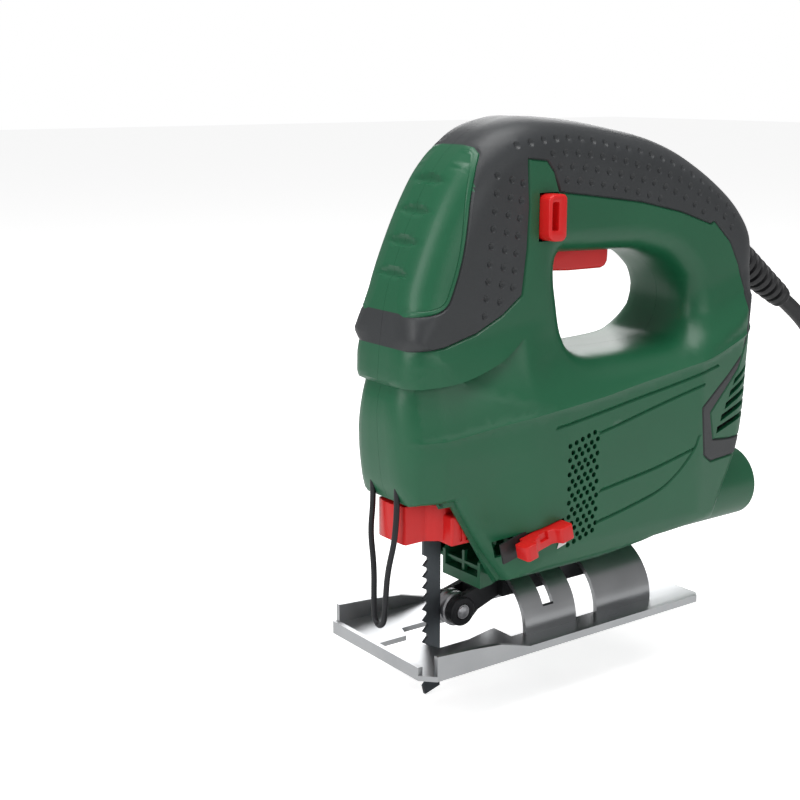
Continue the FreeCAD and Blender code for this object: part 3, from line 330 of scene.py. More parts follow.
def smooth_line(points, step, closed=False):
    """Points a step apart on a curve through the given ones."""
    points = [Vector(p) for p in points]
    count = len(points)
    out = []
    for i in range(count if closed else count - 1):
        a, b = points[i], points[(i + 1) % count]
        before = points[i - 1] if closed or i else a
        after = points[(i + 2) % count] if closed or i + 2 < count else b
        pieces = max(1, round((b - a).length / step))
        for k in range(pieces):
            t = k / pieces
            t2, t3 = t * t, t * t * t
            out.append(0.5 * (2 * a + (b - before) * t + (2 * before - 5 * a + 4 * b - after) * t2
                              + (3 * a - before - 3 * b + after) * t3))
    if not closed:
        out.append(points[-1])
    return np.array(out)


def straight_line(points, step):
    out = []
    for a, b in zip(points, points[1:]):
        a, b = np.array(a, float), np.array(b, float)
        pieces = max(1, round(np.linalg.norm(b - a) / step))
        out += [a + (b - a) * k / pieces for k in range(pieces)]
    return np.array(out + [np.array(points[-1], float)])


def distance(points, line, closed=False):
    """How far each point is from a line of straight runs, and the side of it, + to the left."""
    ends = np.roll(line, -1, axis=0) if closed else line[1:]
    starts = line if closed else line[:-1]
    best = np.full(len(points), 1e9)
    side = np.zeros(len(points))
    for a, b in zip(starts, ends):
        run = b - a
        length = run @ run
        if length < 1e-12:
            continue
        t = np.clip(((points - a) @ run) / length, 0, 1)
        away = points - (a + t[:, None] * run)
        d = np.hypot(away[:, 0], away[:, 1])
        near = d < best
        best[near] = d[near]
        side[near] = np.sign(run[0] * away[near, 1] - run[1] * away[near, 0])
    return best, side


def inside(points, ring):
    """Which points lie in a closed outline."""
    x, z = points[:, 0], points[:, 1]
    result = np.zeros(len(points), bool)
    for (ax, az), (bx, bz) in zip(ring, np.roll(ring, -1, axis=0)):
        if az == bz:
            continue
        crosses = (az > z) != (bz > z)
        result ^= crosses & (x < (bx - ax) * (z - az) / (bz - az) + ax)
    return result


def offset(line, gap, closed=False):
    """The line moved sideways, + to its left."""
    ahead = np.roll(line, -1, axis=0) - np.roll(line, 1, axis=0)
    if not closed:
        ahead[0], ahead[-1] = line[1] - line[0], line[-1] - line[-2]
    ahead /= np.maximum(np.linalg.norm(ahead, axis=1), 1e-9)[:, None]
    return line + gap * np.stack([-ahead[:, 1], ahead[:, 0]], axis=1)


def ramp(t):
    t = np.clip(t, 0, 1)
    return t * t * (3 - 2 * t)


def rounding(d, radius):
    """How much lower a rounded edge is, d inwards from it."""
    t = np.clip(d / radius, 0, 1)
    return radius * (1 - np.sqrt(np.clip(1 - (1 - t) ** 2, 0, 1)))


class HousingSide:
    """The housing's left side as a height over its outline: y = -height(x, z). The right side is its mirror."""

    def __init__(self):
        back = smooth_line(NOSE_AND_BACK, 2.0)
        under = straight_line(UNDERSIDE, 2.0)
        self.outline = np.vstack([back[:-1], under[:-1]])
        self.hole = smooth_line(HAND_HOLE, 1.8, closed=True)
        self.skin = np.array(SKIN_EDGE, float)
        self.skin_line = straight_line(SKIN_EDGE + SKIN_EDGE[:1], 1.6)
        self.pad = smooth_line(PAD_EDGE[1:-1], 1.5)
        self.pad = np.vstack([[PAD_EDGE[0]], self.pad, [PAD_EDGE[-1]]])
        self.band = smooth_line(BAND_EDGE, 1.5)
        self.ridge = smooth_line(RIDGE, 2.0)
        self.grooves = [smooth_line(line, 2.0) for line in SIDE_GROOVES]
        self.vents = [(41 + 3.1 * i + 1.55 * (j % 2), 38.4 + 2.75 * j + 0.28 * (3.1 * i)) for j in range(15)
                      for i in range(5)]
        self.dimples = self.place_dimples()
        self.louvres = [np.array([(123 + 2.6 * k, 69 + 4.6 * k), (147.6 + 0.75 * k, 74.5 + 5.4 * k),
                                  (148.3 + 0.75 * k, 77 + 5.4 * k), (123.5 + 2.8 * k, 71.8 + 4.6 * k)])
                        for k in range(5)]
        tilt = math.radians(13)
        along = np.array([math.cos(tilt), math.sin(tilt)])
        up = np.array([-along[1], along[0]])
        rear = np.array([46.3, 47.9])
        self.lever_slot = np.array([rear - 35.6 * along - 3.3 * up, rear - 6.9 * along - 3.3 * up,
                                    rear - 6.9 * along + 3.3 * up, rear - 35.6 * along + 3.3 * up])

    def place_dimples(self):
        """Small dents in the soft skin: slanted columns on the front, then rows along the handle."""
        spots = [(7.5 + 6.1 * c + 0.34 * r * 2.05 + 0.9 * (c % 2), 127.5 + 3 * (c == 1) + 6.15 * r + 1.5 * c)
                 for c in range(3) for r in range(8 if c else 9)]
        top = smooth_line([(20, 193.8), (46, 195.9), (79, 191.2), (109, 183), (136, 168), (150, 154)], 1.0)
        for row, gap in enumerate((7.2, 12.2, 17.2, 22.2)):
            line = offset(top, -gap)
            walked = np.concatenate([[0], np.cumsum(np.linalg.norm(np.diff(line, axis=0), axis=1))])
            for s in np.arange(2 + 3.1 * (row % 2), walked[-1] - 3, 6.2):
                spot = (np.interp(s, walked, line[:, 0]), np.interp(s, walked, line[:, 1]))
                spots.append(spot)
        spots = np.array(spots)
        keep = inside(spots, self.skin) & ~inside(spots, np.array(PAD_EDGE, float))
        keep &= (distance(spots, self.skin, closed=True)[0] > 2.2) & (distance(spots, self.pad)[0] > 2.4)
        kept = []
        for spot in spots[keep]:
            if all(np.hypot(*(spot - other)) > 4.2 for other in kept):
                kept.append(spot)
        return kept

    def core(self, p):
        """Half-width before any edge is rounded."""
        x, z = p[:, 0], p[:, 1]
        high = ramp((z - 116) / 12)
        front = np.interp(x, [-25.5, -19.5, -10.5, 4, 24, 40, 112, 138, 161], [12, 18.4, 22.5, 25.3, 29.6, 31, 31, 27, 20])
        tucked = front * (1 - 0.11 * np.clip((NOSE_CREASE - z) / 17, 0, 1.6) * ramp((30 - x) / 22))
        rear = np.interp(x, [112, 138, 161], [31, 27, 20])
        along = (1 - high) * tucked + high * np.minimum(rear, 31)
        above = z - np.interp(x, self.ridge[:, 0], self.ridge[:, 1])
        flank = np.interp(above, [0, 3, 6, 10, 15, 24, 70], [31, 29.6, 27.6, 24.6, 21.8, 20.6, 20.5])
        cheek = np.interp(above, [0, 3, 6, 10, 15, 24, 32, 70], [31, 29.9, 28.6, 26.6, 24.8, 22.2, 20.8, 20.5])
        rearward = ramp((x - 26) / 16)
        shoulder = (1 - rearward) * cheek + rearward * flank
        low = np.interp(z, [26, 28, 31, 38, 200], [22, 26, 29, 31, 31])
        return np.minimum(np.minimum(along, shoulder), low)

    def height(self, p, right=False):
        x, z = p[:, 0], p[:, 1]
        h = self.core(p)
        high = ramp((z - 112) / 26)
        rear = ramp((x - 90) / 40)
        radius = 3 + 11 * high * (1 - rear) + rear * (2 + 8 * ramp((z - 50) / 50))
        h = h - rounding(distance(p, self.outline, closed=True)[0], radius)
        h = h - rounding(distance(p, self.hole, closed=True)[0], 9.5)
        # the facet hollowed under the nose band, deepest just under the band's sharp lower edge
        top = np.interp(x, self.band[:, 0], self.band[:, 1])
        foot = np.interp(x, self.ridge[:, 0], self.ridge[:, 1])
        share = np.clip((z - foot) / np.maximum(top - foot, 1), 0, 1)
        below = (z < top - 0.02) & (x < 26)
        h = h - np.where(below, (0.9 + 3.4 * ramp((26 - x) / 30)) * share ** 1.5 * np.clip((26 - x) / 4, 0, 1), 0)
        band = ramp((26 - x) / 12) * ramp((z - top + 0.3) / 0.3) * ramp((118 - z) / 6)
        h = h + 0.9 * band
        h = h + 0.7 * np.clip(1 - distance(p, self.ridge)[0] / 1.4, 0, 1) * ramp((x + 24) / 6)
        for line in self.grooves:
            h = h - 0.75 * np.clip(1 - distance(p, line)[0] / 0.75, 0, 1)
        for line, closed in ((self.skin, True), (self.pad, False)):
            h = h - 0.7 * np.clip(1 - distance(p, line, closed)[0] / 0.6, 0, 1)
        pad_line, side = distance(p, self.pad)
        h = h - 0.3 * np.clip(1 - np.abs(pad_line - 1.7) / 0.35, 0, 1) * (inside(p, np.array(PAD_EDGE, float)))
        for dx, dz in self.dimples:
            h = h - 0.95 * np.clip(1 - ((x - dx) ** 2 + (z - dz) ** 2) / 1.45 ** 2, 0, 1) ** 1.1
        return np.maximum(h, 3.0)

    def seed_points(self, right):
        """Points that carry every edge and feature, then a field of points between them."""
        rings = [self.outline] + [offset(self.outline, -g, closed=True)
                                  for g in (0.35, 1.0, 2.1, 3.6, 5.6, 8, 11)]
        rings += [self.hole] + [offset(self.hole, -g, closed=True) for g in (0.35, 1.0, 2.1, 3.8, 6, 8.6)]
        lines = [self.skin_line, self.pad] + [offset(self.skin_line, g) for g in (-0.62, 0.62)]
        lines += [offset(self.pad, g) for g in (-0.62, 0.62, 1.35, 1.7, 2.05)]
        lines += [self.band, offset(self.band, -0.12), offset(self.band, -0.9), offset(self.band, 0.4)]
        lines += [offset(self.ridge, g) for g in (-1.2, 0, 1.2)]
        for line in self.grooves:
            lines += [offset(line, g) for g in (-0.76, 0, 0.76)]
        seeds = [("edge", ring) for ring in rings] + [("line", line) for line in lines]
        dots = []
        for cx, cz in self.dimples:
            dots += [(cx, cz)] + [(cx + r * math.cos(a), cz + r * math.sin(a))
                                  for r in (0.75, 1.48) for a in np.arange(9) * math.tau / 9]
        for cx, cz in self.vents:
            dots += [(cx, cz)] + [(cx + r * math.cos(a), cz + r * math.sin(a))
                                  for r in (VENT_RADIUS,) for a in np.arange(10) * math.tau / 10]
        x, z = np.meshgrid(np.arange(-26, 158, 2.1), np.arange(25, 199, 1.9))
        x = x + 1.05 * (np.arange(len(z)) % 2)[:, None]
        field = np.stack([x.ravel(), z.ravel()], axis=1)
        return seeds, np.array(dots), field

    def mesh_plan(self, right):
        """Triangles in the plan (x, z), with every feature line an edge; holes left open."""
        seeds, dots, field = self.seed_points(right)
        outline_gap = lambda p: distance(p, self.outline, closed=True)[0]
        points, edges = [], []

        def add_chain(line, closed):
            first = len(points)
            points.extend(line)
            edges.extend((first + i, first + i + 1) for i in range(len(line) - 1))
            if closed:
                edges.append((len(points) - 1, first))

        add_chain(self.outline, True)
        add_chain(self.hole, True)
        solid_rings = []
        cuts = [np.array(ring) for ring in self.louvres]
        if not right:
            cuts += [np.array(LOCK_HOLE, float), self.lever_slot]
        for ring in cuts:
            line = straight_line([tuple(q) for q in ring] + [tuple(ring[0])], 1.5)[:-1]
            keep = self.on_body(line, 0.3)
            if keep.all():
                add_chain(line, True)
                solid_rings.append(ring)
        for kind, line in seeds:
            if kind == "edge":
                continue
            keep = self.on_body(line, 0.25)
            run = []
            for ok, spot in zip(keep, line):
                if ok:
                    run.append(spot)
                elif len(run) > 1:
                    add_chain(run, False)
                    run = []
                else:
                    run = []
            if len(run) > 1:
                add_chain(run, False)
        taken = {(round(x / 0.45), round(z / 0.45)) for x, z in points}

        def add_loose(spots, margin, thin):
            spots = spots[self.on_body(spots, margin)]
            for spot in spots:
                cell = (round(spot[0] / thin), round(spot[1] / thin))
                near = {(cell[0] + i, cell[1] + j) for i in (-1, 0, 1) for j in (-1, 0, 1)}
                fine = {(round(spot[0] / 0.45) + i, round(spot[1] / 0.45) + j) for i in (-1, 0, 1) for j in (-1, 0, 1)}
                if thin and (near & sparse or fine & taken):
                    continue
                points.append(spot)
                sparse.add(cell)
                taken.add((round(spot[0] / 0.45), round(spot[1] / 0.45)))

        sparse = set()
        fixed = dots[self.on_body(dots, 0.6)]
        for spot in fixed:
            points.append(spot)
            taken.add((round(spot[0] / 0.45), round(spot[1] / 0.45)))
        for kind, line in seeds:
            if kind == "edge":
                gap = 0.3
                add_loose(line, gap, 0.5)
        add_loose(field, 1.0, 0.9)
        flat = [Vector((float(x), float(z))) for x, z in points]
        verts, _, faces, _, _, _ = delaunay_2d_cdt(flat, edges, [], 0, 1e-4)
        verts = np.array([tuple(v) for v in verts])
        middles = np.array([verts[list(face)].mean(axis=0) for face in faces])
        keep = inside(middles, self.outline) & ~inside(middles, self.hole)
        for ring in solid_rings:
            keep &= ~inside(middles, ring)
        for cx, cz in self.vents:
            keep &= np.hypot(middles[:, 0] - cx, middles[:, 1] - cz) > VENT_RADIUS * 0.93
        faces = [face for face, ok in zip(faces, keep) if ok]
        return verts, faces, middles[keep]

    def on_body(self, spots, margin):
        spots = np.asarray(spots)
        ok = inside(spots, self.outline) & ~inside(spots, self.hole)
        return ok & (distance(spots, self.outline, True)[0] > margin) & (distance(spots, self.hole, True)[0] > margin)

    def region(self, spots):
        """0 for the hard shell, 1 for the soft skin, 2 for the front insert."""
        in_pad = inside(spots, np.array(PAD_EDGE, float))
        return np.where(in_pad, 2, np.where(inside(spots, self.skin), 1, 0))


def dent_front(piece):
    """Four lens-shaped finger grooves across the insert, pushed in along its own slope."""
    half, tall, deep = 10.5, 2.0, 1.5
    back = Vector((0.86, 0, -0.5))
    for vertex in piece.data.vertices:
        x, y, z = (c / MM for c in vertex.co)
        for centre in (143.4, 154.2, 164.8, 175.2):
            reach = 1 - (y / half) ** 2
            if reach > 0.02 and x < 14:
                across = 1 - ((z - centre + 0.05 * abs(y)) / (tall * reach)) ** 2
                if across > 0:
                    vertex.co += back * (deep * MM * reach * across)


def build_housing(paints):
    side_plan = HousingSide()
    pads = []
    for name, sign in (("left", -1), ("right", 1)):
        verts, faces, middles = side_plan.mesh_plan(sign > 0)
        high = side_plan.height(verts)
        where = side_plan.region(middles)
        rim_lines = [side_plan.outline, side_plan.hole]
        for number, (label, body_paint) in enumerate((("shell", "green_plastic"), ("soft_skin", "soft_grip"),
                                                      ("front_insert", "green_plastic"))):
            mesh = bmesh.new()
            made = {}

            def vertex(x, y, z):
                key = (round(x, 3), round(y, 3), round(z, 3))
                if key not in made:
                    made[key] = mesh.verts.new((x * MM, y * MM, z * MM))
                return made[key]

            for face, kind in zip(faces, where):
                if kind == number:
                    corners = [vertex(verts[i][0], sign * high[i], verts[i][1]) for i in face]
                    if len(set(corners)) == len(corners):
                        mesh.faces.new(corners if sign < 0 else corners[::-1])
            for line, is_hole in zip(rim_lines, (False, True)):
                edge = side_plan.height(line)
                mids = (line + np.roll(line, -1, axis=0)) / 2
                inner = mids + (offset(line, -0.05, True) - line)
                kinds = side_plan.region(inner)
                for i, kind in enumerate(kinds):
                    j = (i + 1) % len(line)
                    if kind != number:
                        continue
                    (ax, az), (bx, bz) = line[i], line[j]
                    rows = [(edge[i], edge[j])]
                    stop = SEAM
                    mx, mz = mids[i]
                    if is_hole and mz > 140 and TRIGGER_HOLE[0] < mx < TRIGGER_HOLE[1]:
                        stop = TRIGGER_HOLE[2]
                    if not is_hole and mx < 17.1 and mz < 60.4:
                        stop = RECESS_HALF
                    for share in (np.arange(1, 9) / 8 if number == 2 else (0.5, 1.0)):
                        rows.append(tuple(max(stop, e + (stop - e) * share) for e in (edge[i], edge[j])))
                    for (a0, b0), (a1, b1) in zip(rows, rows[1:]):
                        if max(a0, b0) - max(a1, b1) < 0.02:
                            continue
                        corners = [vertex(ax, sign * a0, az), vertex(bx, sign * b0, bz),
                                   vertex(bx, sign * b1, bz), vertex(ax, sign * a1, az)]
                        corners = list(dict.fromkeys(corners))
                        if len(corners) > 2 and not mesh.faces.get(corners):
                            mesh.faces.new(corners if sign > 0 else corners[::-1])
            bmesh.ops.recalc_face_normals(mesh, faces=mesh.faces)
            outward = sum(f.normal.y * f.calc_area() for f in mesh.faces) * sign
            if outward < 0:
                bmesh.ops.reverse_faces(mesh, faces=mesh.faces)
            data = bpy.data.meshes.new(f"{name}_{label}")
            mesh.to_mesh(data)
            mesh.free()
            piece = bpy.data.objects.new(f"{name}_{label}", data)
            scene.collection.objects.link(piece)
            if number == 2:
                pads.append(piece)
                refine(piece)
                dent_front(piece)
                thicken(piece, 1.4)
                paint(piece, paints[body_paint])
                continue
            thicken(piece, WALL if number == 0 else 1.4)
            paint(piece, paints[body_paint])
            finish_piece(piece, "housing", body_paint, f"{name}_housing" if number == 0 else f"{name}_grip_skin")
    pad = join(pads, "front_insert")
    finish_piece(pad, "housing", "green_plastic", "front_grip_pad")


# ---- small helpers for modelled pieces ------------------------------------------------------

def use(piece):
    bpy.ops.object.select_all(action="DESELECT")
    piece.select_set(True)
    bpy.context.view_layer.objects.active = piece


def thicken(piece, wall):
    """Gives a shell its wall, inwards."""
    use(piece)
    solid = piece.modifiers.new("wall", "SOLIDIFY")
    solid.thickness = wall * MM
    solid.offset = -1
    bpy.ops.object.modifier_apply(modifier="wall")


def refine(piece):
    """Cuts a shell's faces once, evenly, so that it can take finer shapes."""
    use(piece)
    bpy.ops.object.mode_set(mode="EDIT")
    bpy.ops.mesh.select_all(action="SELECT")
    bpy.ops.mesh.subdivide(number_cuts=1)
    bpy.ops.object.mode_set(mode="OBJECT")


def join(pieces, name):
    bpy.ops.object.select_all(action="DESELECT")
    for piece in pieces:
        piece.select_set(True)
    bpy.context.view_layer.objects.active = pieces[0]
    if len(pieces) > 1:
        bpy.ops.object.join()
    piece = bpy.context.object
    piece.name = name
    return piece


def finish_piece(piece, body, slot, *nodes, angle=35):
    """Smooth shading, the body it rides on and the plain solids it stands for; its material slot is not used."""
    use(piece)
    bpy.ops.object.transform_apply(location=True, rotation=True, scale=True)
    bpy.ops.object.shade_smooth_by_angle(angle=math.radians(angle))
    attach(piece, body)
    if nodes:
        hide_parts(*nodes)
    piece.select_set(False)


def slab(outline, thick, bevel=0.0, segments=3, across="Y", middle=0.0, name="piece"):
    """A plate of the given outline, in the XZ plane, or in XY when it is thick along Z."""
    bpy.ops.mesh.primitive_circle_add(vertices=len(outline), radius=1, fill_type="NGON")
    piece = bpy.context.object
    piece.name = name
    for vertex, (a, b) in zip(piece.data.vertices, outline):
        place = {"Y": (a, middle - thick / 2, b), "Z": (a, b, middle - thick / 2), "X": (middle - thick / 2, a, b)}
        vertex.co = Vector(place[across]) * MM
    push = {"Y": (0, thick * MM, 0), "Z": (0, 0, thick * MM), "X": (thick * MM, 0, 0)}[across]
    bpy.ops.object.mode_set(mode="EDIT")
    bpy.ops.mesh.select_all(action="SELECT")
    bpy.ops.mesh.extrude_region_move(TRANSFORM_OT_translate={"value": push})
    bpy.ops.mesh.select_all(action="SELECT")
    bpy.ops.mesh.normals_make_consistent(inside=False)
    bpy.ops.object.mode_set(mode="OBJECT")
    if bevel:
        soften(piece, bevel, segments)
    return piece


def soften(piece, width, segments=3, angle=30):
    """Rounds every sharp edge."""
    use(piece)
    edge = piece.modifiers.new("edge", "BEVEL")
    edge.width = width * MM
    edge.segments = segments
    edge.limit_method = "ANGLE"
    edge.angle_limit = math.radians(angle)
    bpy.ops.object.modifier_apply(modifier="edge")


def carve(piece, tool, operation="DIFFERENCE"):
    """Cuts a tool piece out of another, or joins it on, and removes the tool."""
    use(piece)
    cut = piece.modifiers.new("cut", "BOOLEAN")
    cut.operation = operation
    cut.object = tool
    cut.solver = "EXACT"
    bpy.ops.object.modifier_apply(modifier="cut")
    bpy.data.objects.remove(tool)


def rod(start, end, radius, vertices=32, radius_end=None):
    """A round bar, or a cone, from one point to another, in millimetres."""
    start, end = Vector(start), Vector(end)
    run = end - start
    bpy.ops.mesh.primitive_cone_add(vertices=vertices, radius1=radius * MM,
                                    radius2=(radius if radius_end is None else radius_end) * MM,
                                    depth=run.length * MM, location=(start + end) * MM / 2,
                                    rotation=run.to_track_quat("Z", "Y").to_euler())
    bpy.ops.object.transform_apply(location=True, rotation=True, scale=True)
    return bpy.context.object


def lathe(profile, start, direction, vertices=48, name="turned"):
    """A turned piece: (distance along, radius) pairs spun round a line, in millimetres."""
    axis = Vector(direction).normalized()
    data = bpy.data.meshes.new(name)
    data.from_pydata([(r * MM, 0, s * MM) for s, r in profile], [(i, i + 1) for i in range(len(profile) - 1)], [])
    piece = bpy.data.objects.new(name, data)
    scene.collection.objects.link(piece)
    use(piece)
    bpy.ops.object.mode_set(mode="EDIT")
    bpy.ops.mesh.select_all(action="SELECT")
    bpy.ops.mesh.spin(steps=vertices, angle=math.tau, center=(0, 0, 0), axis=(0, 0, 1))
    bpy.ops.mesh.select_all(action="SELECT")
    bpy.ops.mesh.remove_doubles(threshold=0.000001)
    bpy.ops.mesh.normals_make_consistent(inside=False)
    bpy.ops.object.mode_set(mode="OBJECT")
    piece.matrix_world = Matrix.Translation(Vector(start) * MM) @ axis.to_track_quat("Z", "Y").to_matrix().to_4x4()
    bpy.ops.object.transform_apply(location=True, rotation=True, scale=True)
    return piece


# ---- controls -------------------------------------------------------------------------------

def build_trigger(paints):
    outline = [(46, 153), (46, 142.2), (46.6, 140.2), (48.4, 139), (60, 138.2), (76.5, 138), (78.8, 138.7),
               (79.8, 140.6), (80, 143), (80, 153)]
    piece = slab(outline, 16, 1.3, 4, name="trigger_button")
    paint(piece, paints["red_plastic"])
    finish_piece(piece, "trigger", "red_plastic", "trigger")


def build_lock_button(paints):
    """The lock-on button: a tall block with a deep finger slot in its front half."""
    body = [(32.7, 154.6), (34, 152.9), (36, 152.5), (39.8, 152.5), (41.3, 154), (41.3, 168), (40.2, 169.4),
            (34.4, 169.4), (32.7, 168)]
    piece = slab(body, 11.5, 0.9, 3, middle=-20.25, name="lock_on_button")
    slot = slab([(33.9, 156.4), (37.1, 156.4), (37.1, 166.8), (33.9, 166.8)], 7, 0.7, 3, middle=-25.2)
    carve(piece, slot)
    soften(piece, 0.3, 2)
    paint(piece, paints["red_plastic"])
    finish_piece(piece, "lock", "red_plastic", "lock_button")


def build_selector(paints):
    """The blower selector: a sloping bar with a thumb bump at each end, which slides in its slot."""
    side = [(-31, -30.4), (-31, -36.2), (-30, -37), (-26.4, -37), (-25.5, -36.4), (-24.9, -34.6), (-23, -33.6),
            (-16.2, -33.4), (-14.6, -34.2), (-13.9, -36.5), (-13.2, -37), (-8.4, -37), (-7.5, -36), (-7.5, -28.5),
            (-27.2, -28.5), (-27.2, -30.4)]
    piece = slab(side, 5.8, 0.75, 4, across="Z", name="selector_slide")
    hollow = slab([(-22.4, -40), (-16.6, -40), (-17.6, -32.4), (-21.4, -32.4)], 3.2, 0.0, across="Z", middle=1.6)
    carve(piece, hollow)
    tilt = Matrix.Rotation(math.radians(-13), 4, "Y")
    piece.matrix_world = Matrix.Translation(Vector((46, 0, 47.9)) * MM) @ tilt
    use(piece)
    bpy.ops.object.transform_apply(location=True, rotation=True, scale=True)
    paint(piece, paints["red_plastic"])
    finish_piece(piece, "selector", "red_plastic", "blower_selector")


def build_slot_floor(paints):
    """The dark floor of the selector's slot, and the two small marks beside it."""
    run = Vector((math.cos(math.radians(13)), 0, math.sin(math.radians(13))))
    up = Vector((-run.z, 0, run.x))
    rear = Vector((46.6, 0, 47.9))
    front, back = rear - run * 36.2, rear - run * 6.4
    corners = [front - up * 4, back - up * 4, back + up * 4, front + up * 4]
    floor_plate = slab([(c.x, c.z) for c in corners], 0.8, 0.0, middle=-27.6, name="selector_floor")
    paint(floor_plate, paints["black_plastic"])
    finish_piece(floor_plate, "housing", "black_plastic")
    lock_floor = slab([(32, 152), (42, 152), (42, 170), (32, 170)], 0.8, 0.0, middle=-13.6, name="lock_well_floor")
    paint(lock_floor, paints["black_plastic"])
    finish_piece(lock_floor, "housing", "black_plastic")
    bpy.ops.object.text_add()
    mark = bpy.context.object
    mark.data.body = "0"
    mark.data.size = 3.6 * MM
    mark.data.extrude = 0.05 * MM
    mark.data.align_x = "CENTER"
    mark.data.align_y = "CENTER"
    use(mark)
    bpy.ops.object.convert(target="MESH")
    mark = bpy.context.object
    mark.name = "off_mark"
    mark.matrix_world = (Matrix.Translation(Vector((22.6, -29.55, 36.3)) * MM)
                         @ Matrix.Rotation(math.radians(-3), 4, "Z") @ Matrix.Rotation(math.radians(90), 4, "X"))
    use(mark)
    bpy.ops.object.transform_apply(location=True, rotation=True, scale=True)
    paint(mark, paints["white_print"])
    finish_piece(mark, "housing", None)
    nozzle = slab([(35.6, 38), (39.8, 39.1), (41.2, 41.4), (36.4, 40.2)], 0.1, 0.0, middle=-31.02, name="blower_mark")
    paint(nozzle, paints["white_print"])
    finish_piece(nozzle, "housing", None)


def build_collar(paints):
    """The quick-release collar: a ring with a curved finger shield in front and a ribbed lug at the side."""
    shield = [(20 * math.cos(a) * -1, 20 * math.sin(a)) for a in np.radians(np.linspace(25, -25, 11))]
    ring = [(12.3 * math.cos(a), 12.3 * math.sin(a)) for a in np.radians(np.linspace(-138, 138, 25))]
    piece = slab(shield + ring, 14.6, 0.0, across="Z", middle=51.1, name="quick_release_collar")
    under = slab([(-24, 40), (-24, 46.6), (-17, 43), (4, 41.6), (16, 46.5), (16, 40)], 50)
    carve(piece, under)
    hole = rod((0, 0, 35), (0, 0, 70), 9)
    carve(piece, hole)
    lug = slab([(-3.5, -16.8), (9, -16.8), (10.4, -13), (10.4, -6), (-3.5, -6)], 11.4, 0.9, 3, across="Z", middle=48.2)
    bore = rod((0, 0, 35), (0, 0, 70), 9)
    carve(lug, bore)
    carve(piece, lug, "UNION")
    for x in (0.4, 3.2, 6.0):
        groove = slab([(x, 44), (x + 1.1, 44), (x + 1.1, 52), (x, 52)], 1.6, 0.0, middle=-17)
        carve(piece, groove)
    soften(piece, 0.55, 3, 40)
    paint(piece, paints["red_plastic"])
    finish_piece(piece, "collar", "red_plastic", "release_collar")


# ---- mains lead -----------------------------------------------------------------------------

CORD_ROUTE = [(194.97, 0, 114.9), (213.4, 0, 102.9), (229, 3, 86), (240, 8, 63), (246, 12, 38), (250, 12, 14),
              (255, 5, -6), (263, -10, -16.5), (273, -31.5, -18.4)]
COIL_MIDDLE = (312, -9)
COIL_RADII = (45, 38, 31)
COIL_LEVELS = (-18.5, -11.5, -4.5)
CORD_RADIUS = 3.5


def coil_points():
    """Neat turns that wind inwards on the floor, then outwards on the next level, and in again on top."""
    cx, cy = COIL_MIDDLE
    start = math.atan2(-31.5 - cy, 273 - cx)
    steps = 16
    turns = []
    for level, z in enumerate(COIL_LEVELS):
        radii = COIL_RADII if level % 2 == 0 else COIL_RADII[::-1]
        turns += [(radius, z) for radius in radii]
    points = []
    for number, (radius, z) in enumerate(turns):
        ahead = turns[min(number + 1, len(turns) - 1)]
        for step in range(steps):
            if number == len(turns) - 1 and step > steps - 3:
                break
            late = max(0.0, (step / steps - 0.6) / 0.4)
            r = radius + (ahead[0] - radius) * late
            height = z + (ahead[1] - z) * late
            angle = start + math.tau * (step + 1) / steps
            points.append((cx + r * math.cos(angle), cy + r * math.sin(angle), height))
    return points


def build_cord(paints):
    curve = bpy.data.curves.new("mains_cord", "CURVE")
    curve.dimensions = "3D"
    curve.bevel_depth = CORD_RADIUS * MM
    curve.bevel_resolution = 5
    curve.use_fill_caps = True
    curve.resolution_u = 6
    line = curve.splines.new("NURBS")
    route = CORD_ROUTE + coil_points()
    line.points.add(len(route) - 1)
    for point, place in zip(line.points, route):
        point.co = (*(c * MM for c in place), 1)
    line.order_u = 3
    line.use_endpoint_u = True
    cord = bpy.data.objects.new("mains_cord", curve)
    scene.collection.objects.link(cord)
    curve.materials.append(paints["cord_rubber"])
    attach(cord, "housing")
    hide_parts("cord", "cord_coil")
    return cord


def build_boot(paints):
    """The ribbed strain relief, with its wedge-shaped hook underneath."""
    start = Vector((148, 0, 145.4))
    run = Vector((0.8387, 0, -0.5446))
    profile = [(0, 0), (0, 8.2), (9, 8.2), (10, 7.6)]
    for k in range(9):
        s = 11 + 4.8 * k
        r = 7.9 - 0.32 * k
        profile += [(s, r - 1.3), (s + 0.5, r - 0.1), (s + 1.1, r), (s + 2.5, r), (s + 3.1, r - 0.1), (s + 3.6, r - 1.3)]
    profile += [(55, 4.9), (56, 4.6), (56, 3.4), (56, 0)]
    boot = lathe(profile, start, run, name="cord_strain_relief")
    hook = slab([(155, 142), (159.5, 139), (163.5, 132), (164, 124), (161, 117), (157.2, 113.5), (155.4, 114)],
                6.5, 1.2, 3, name="hook")
    boot = join([boot, hook], "cord_strain_relief")
    paint(boot, paints["cord_rubber"])
    finish_piece(boot, "housing", "cord_rubber", "cord_boot")


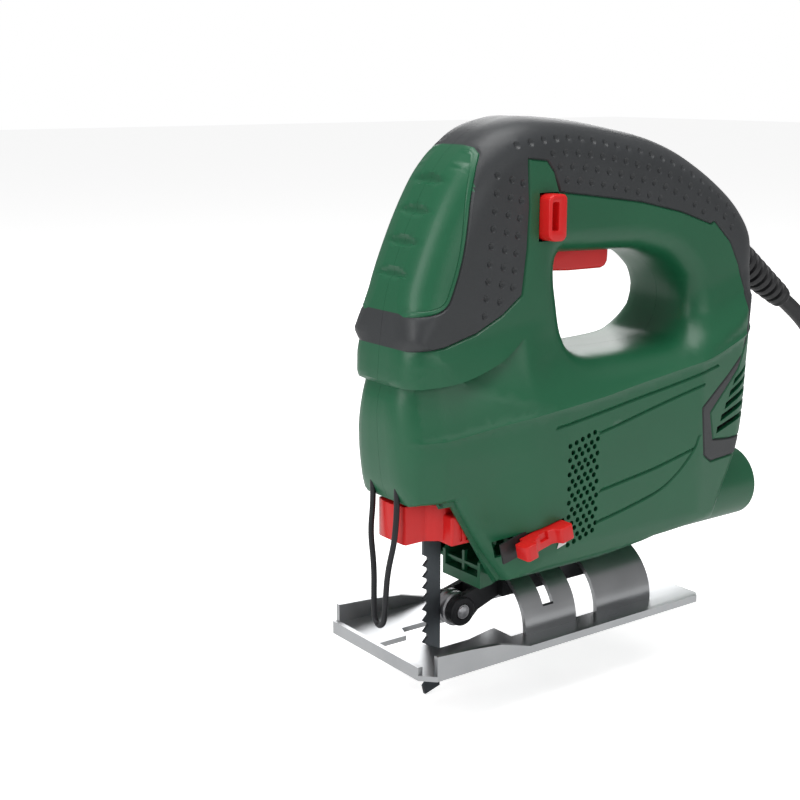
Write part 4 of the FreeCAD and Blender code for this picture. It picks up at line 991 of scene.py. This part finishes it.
def build_plug(paints):
    """The moulded plug on its coil: a waisted body with finger ribs."""
    low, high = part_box("plug_body")
    tail, middle = low[0] / MM, (low[1] + high[1]) / 2 / MM
    half = [(0.5, 4.2), (7, 5), (12, 7.6), (18, 10.2), (23, 10.8), (28, 11.6), (34, 13.6), (39.6, 13.8)]
    outline = [(tail + x, middle - h) for x, h in half] + [(tail + x, middle + h) for x, h in reversed(half)]
    body = slab(outline, 14.6, 2.6, 4, across="Z", middle=7.1, name="plug")
    for x in (tail + 20, tail + 24, tail + 28):
        for side in (-1, 1):
            far, near = middle + side * 16, middle + side * 9.8
            groove = slab([(x, far), (x + 1.6, far), (x + 1.6, near), (x, near)], 8, 0.0, across="Z", middle=7.1)
            carve(body, groove)
    soften(body, 0.3, 2, 40)
    face = slab([(tail + 36.6, middle - 9.5), (tail + 39.9, middle - 9.5), (tail + 39.9, middle + 9.5),
                 (tail + 36.6, middle + 9.5)], 11.6, 1.4, 3, across="Z", middle=7.1)
    plug = join([body, face], "plug")
    paint(plug, paints["cord_rubber"])
    finish_piece(plug, "housing", "cord_rubber", "plug_body")
    return plug


def build_roller(paints):
    """The grooved guide roller, its round boss on the carrier and the pin's head."""
    x, z = 10.55, 11
    profile = [(0, 2.2), (0, 6.2), (0.5, 6.8), (1.6, 6.8), (2.1, 6.3), (3.9, 6.3), (4.4, 6.8), (5.5, 6.8), (6, 6.2),
               (6, 2.2), (0, 2.2)]
    wheel = lathe(profile, (x, -3, z), (0, 1, 0), name="grooved_roller")
    paint(wheel, paints["plain_steel"])
    finish_piece(wheel, "roller", "plain_steel", "guide_roller")
    bosses = []
    for side in (-1, 1):
        disc = lathe([(0, 0), (0, 2.7), (0.4, 3.1), (0.9, 3.2), (0.9, 5.2), (0.5, 5.7), (-0.6, 5.7), (-0.6, 0)],
                     (x, side * 5.75, z), (0, side, 0), 40, name="boss")
        bosses.append(disc)
    boss = join(bosses, "carrier_bosses")
    paint(boss, paints["black_steel"])
    finish_piece(boss, "housing", "black_steel")
    heads = [lathe([(0, 0), (0, 2.5), (0.7, 2.3), (1.0, 1.6), (1.05, 0)], (x, side * 6.3, z), (0, side, 0), 32)
             for side in (-1, 1)]
    head = join(heads, "pin_heads")
    paint(head, paints["plain_steel"])
    finish_piece(head, "housing", "plain_steel")


def build_tube_rim(paints):
    """A rolled lip inside the dust outlet."""
    rim = lathe([(0, 13.5), (0, 15.1), (0.5, 15.28), (1.2, 15.28), (1.2, 13.5), (0, 13.5)], (166, 0, 36), (-1, 0, 0),
                64, name="outlet_rim")
    paint(rim, paints["green_plastic"])
    finish_piece(rim, "housing", "green_plastic")


paints = make_paints()
make_camera()
cord = build_cord(paints)
build_plug(paints)
make_floor(-0.022)
make_lights()
build_housing(paints)
build_trigger(paints)
build_lock_button(paints)
build_selector(paints)
build_slot_floor(paints)
build_collar(paints)
build_boot(paints)
build_roller(paints)
build_tube_rim(paints)
for part in frame["record"]["subparts"]:
    node_object = frame["nodes"][part["node"]]
    node_object.data.materials.clear()
    node_object.data.materials.append(paints[part["material_slot"]])
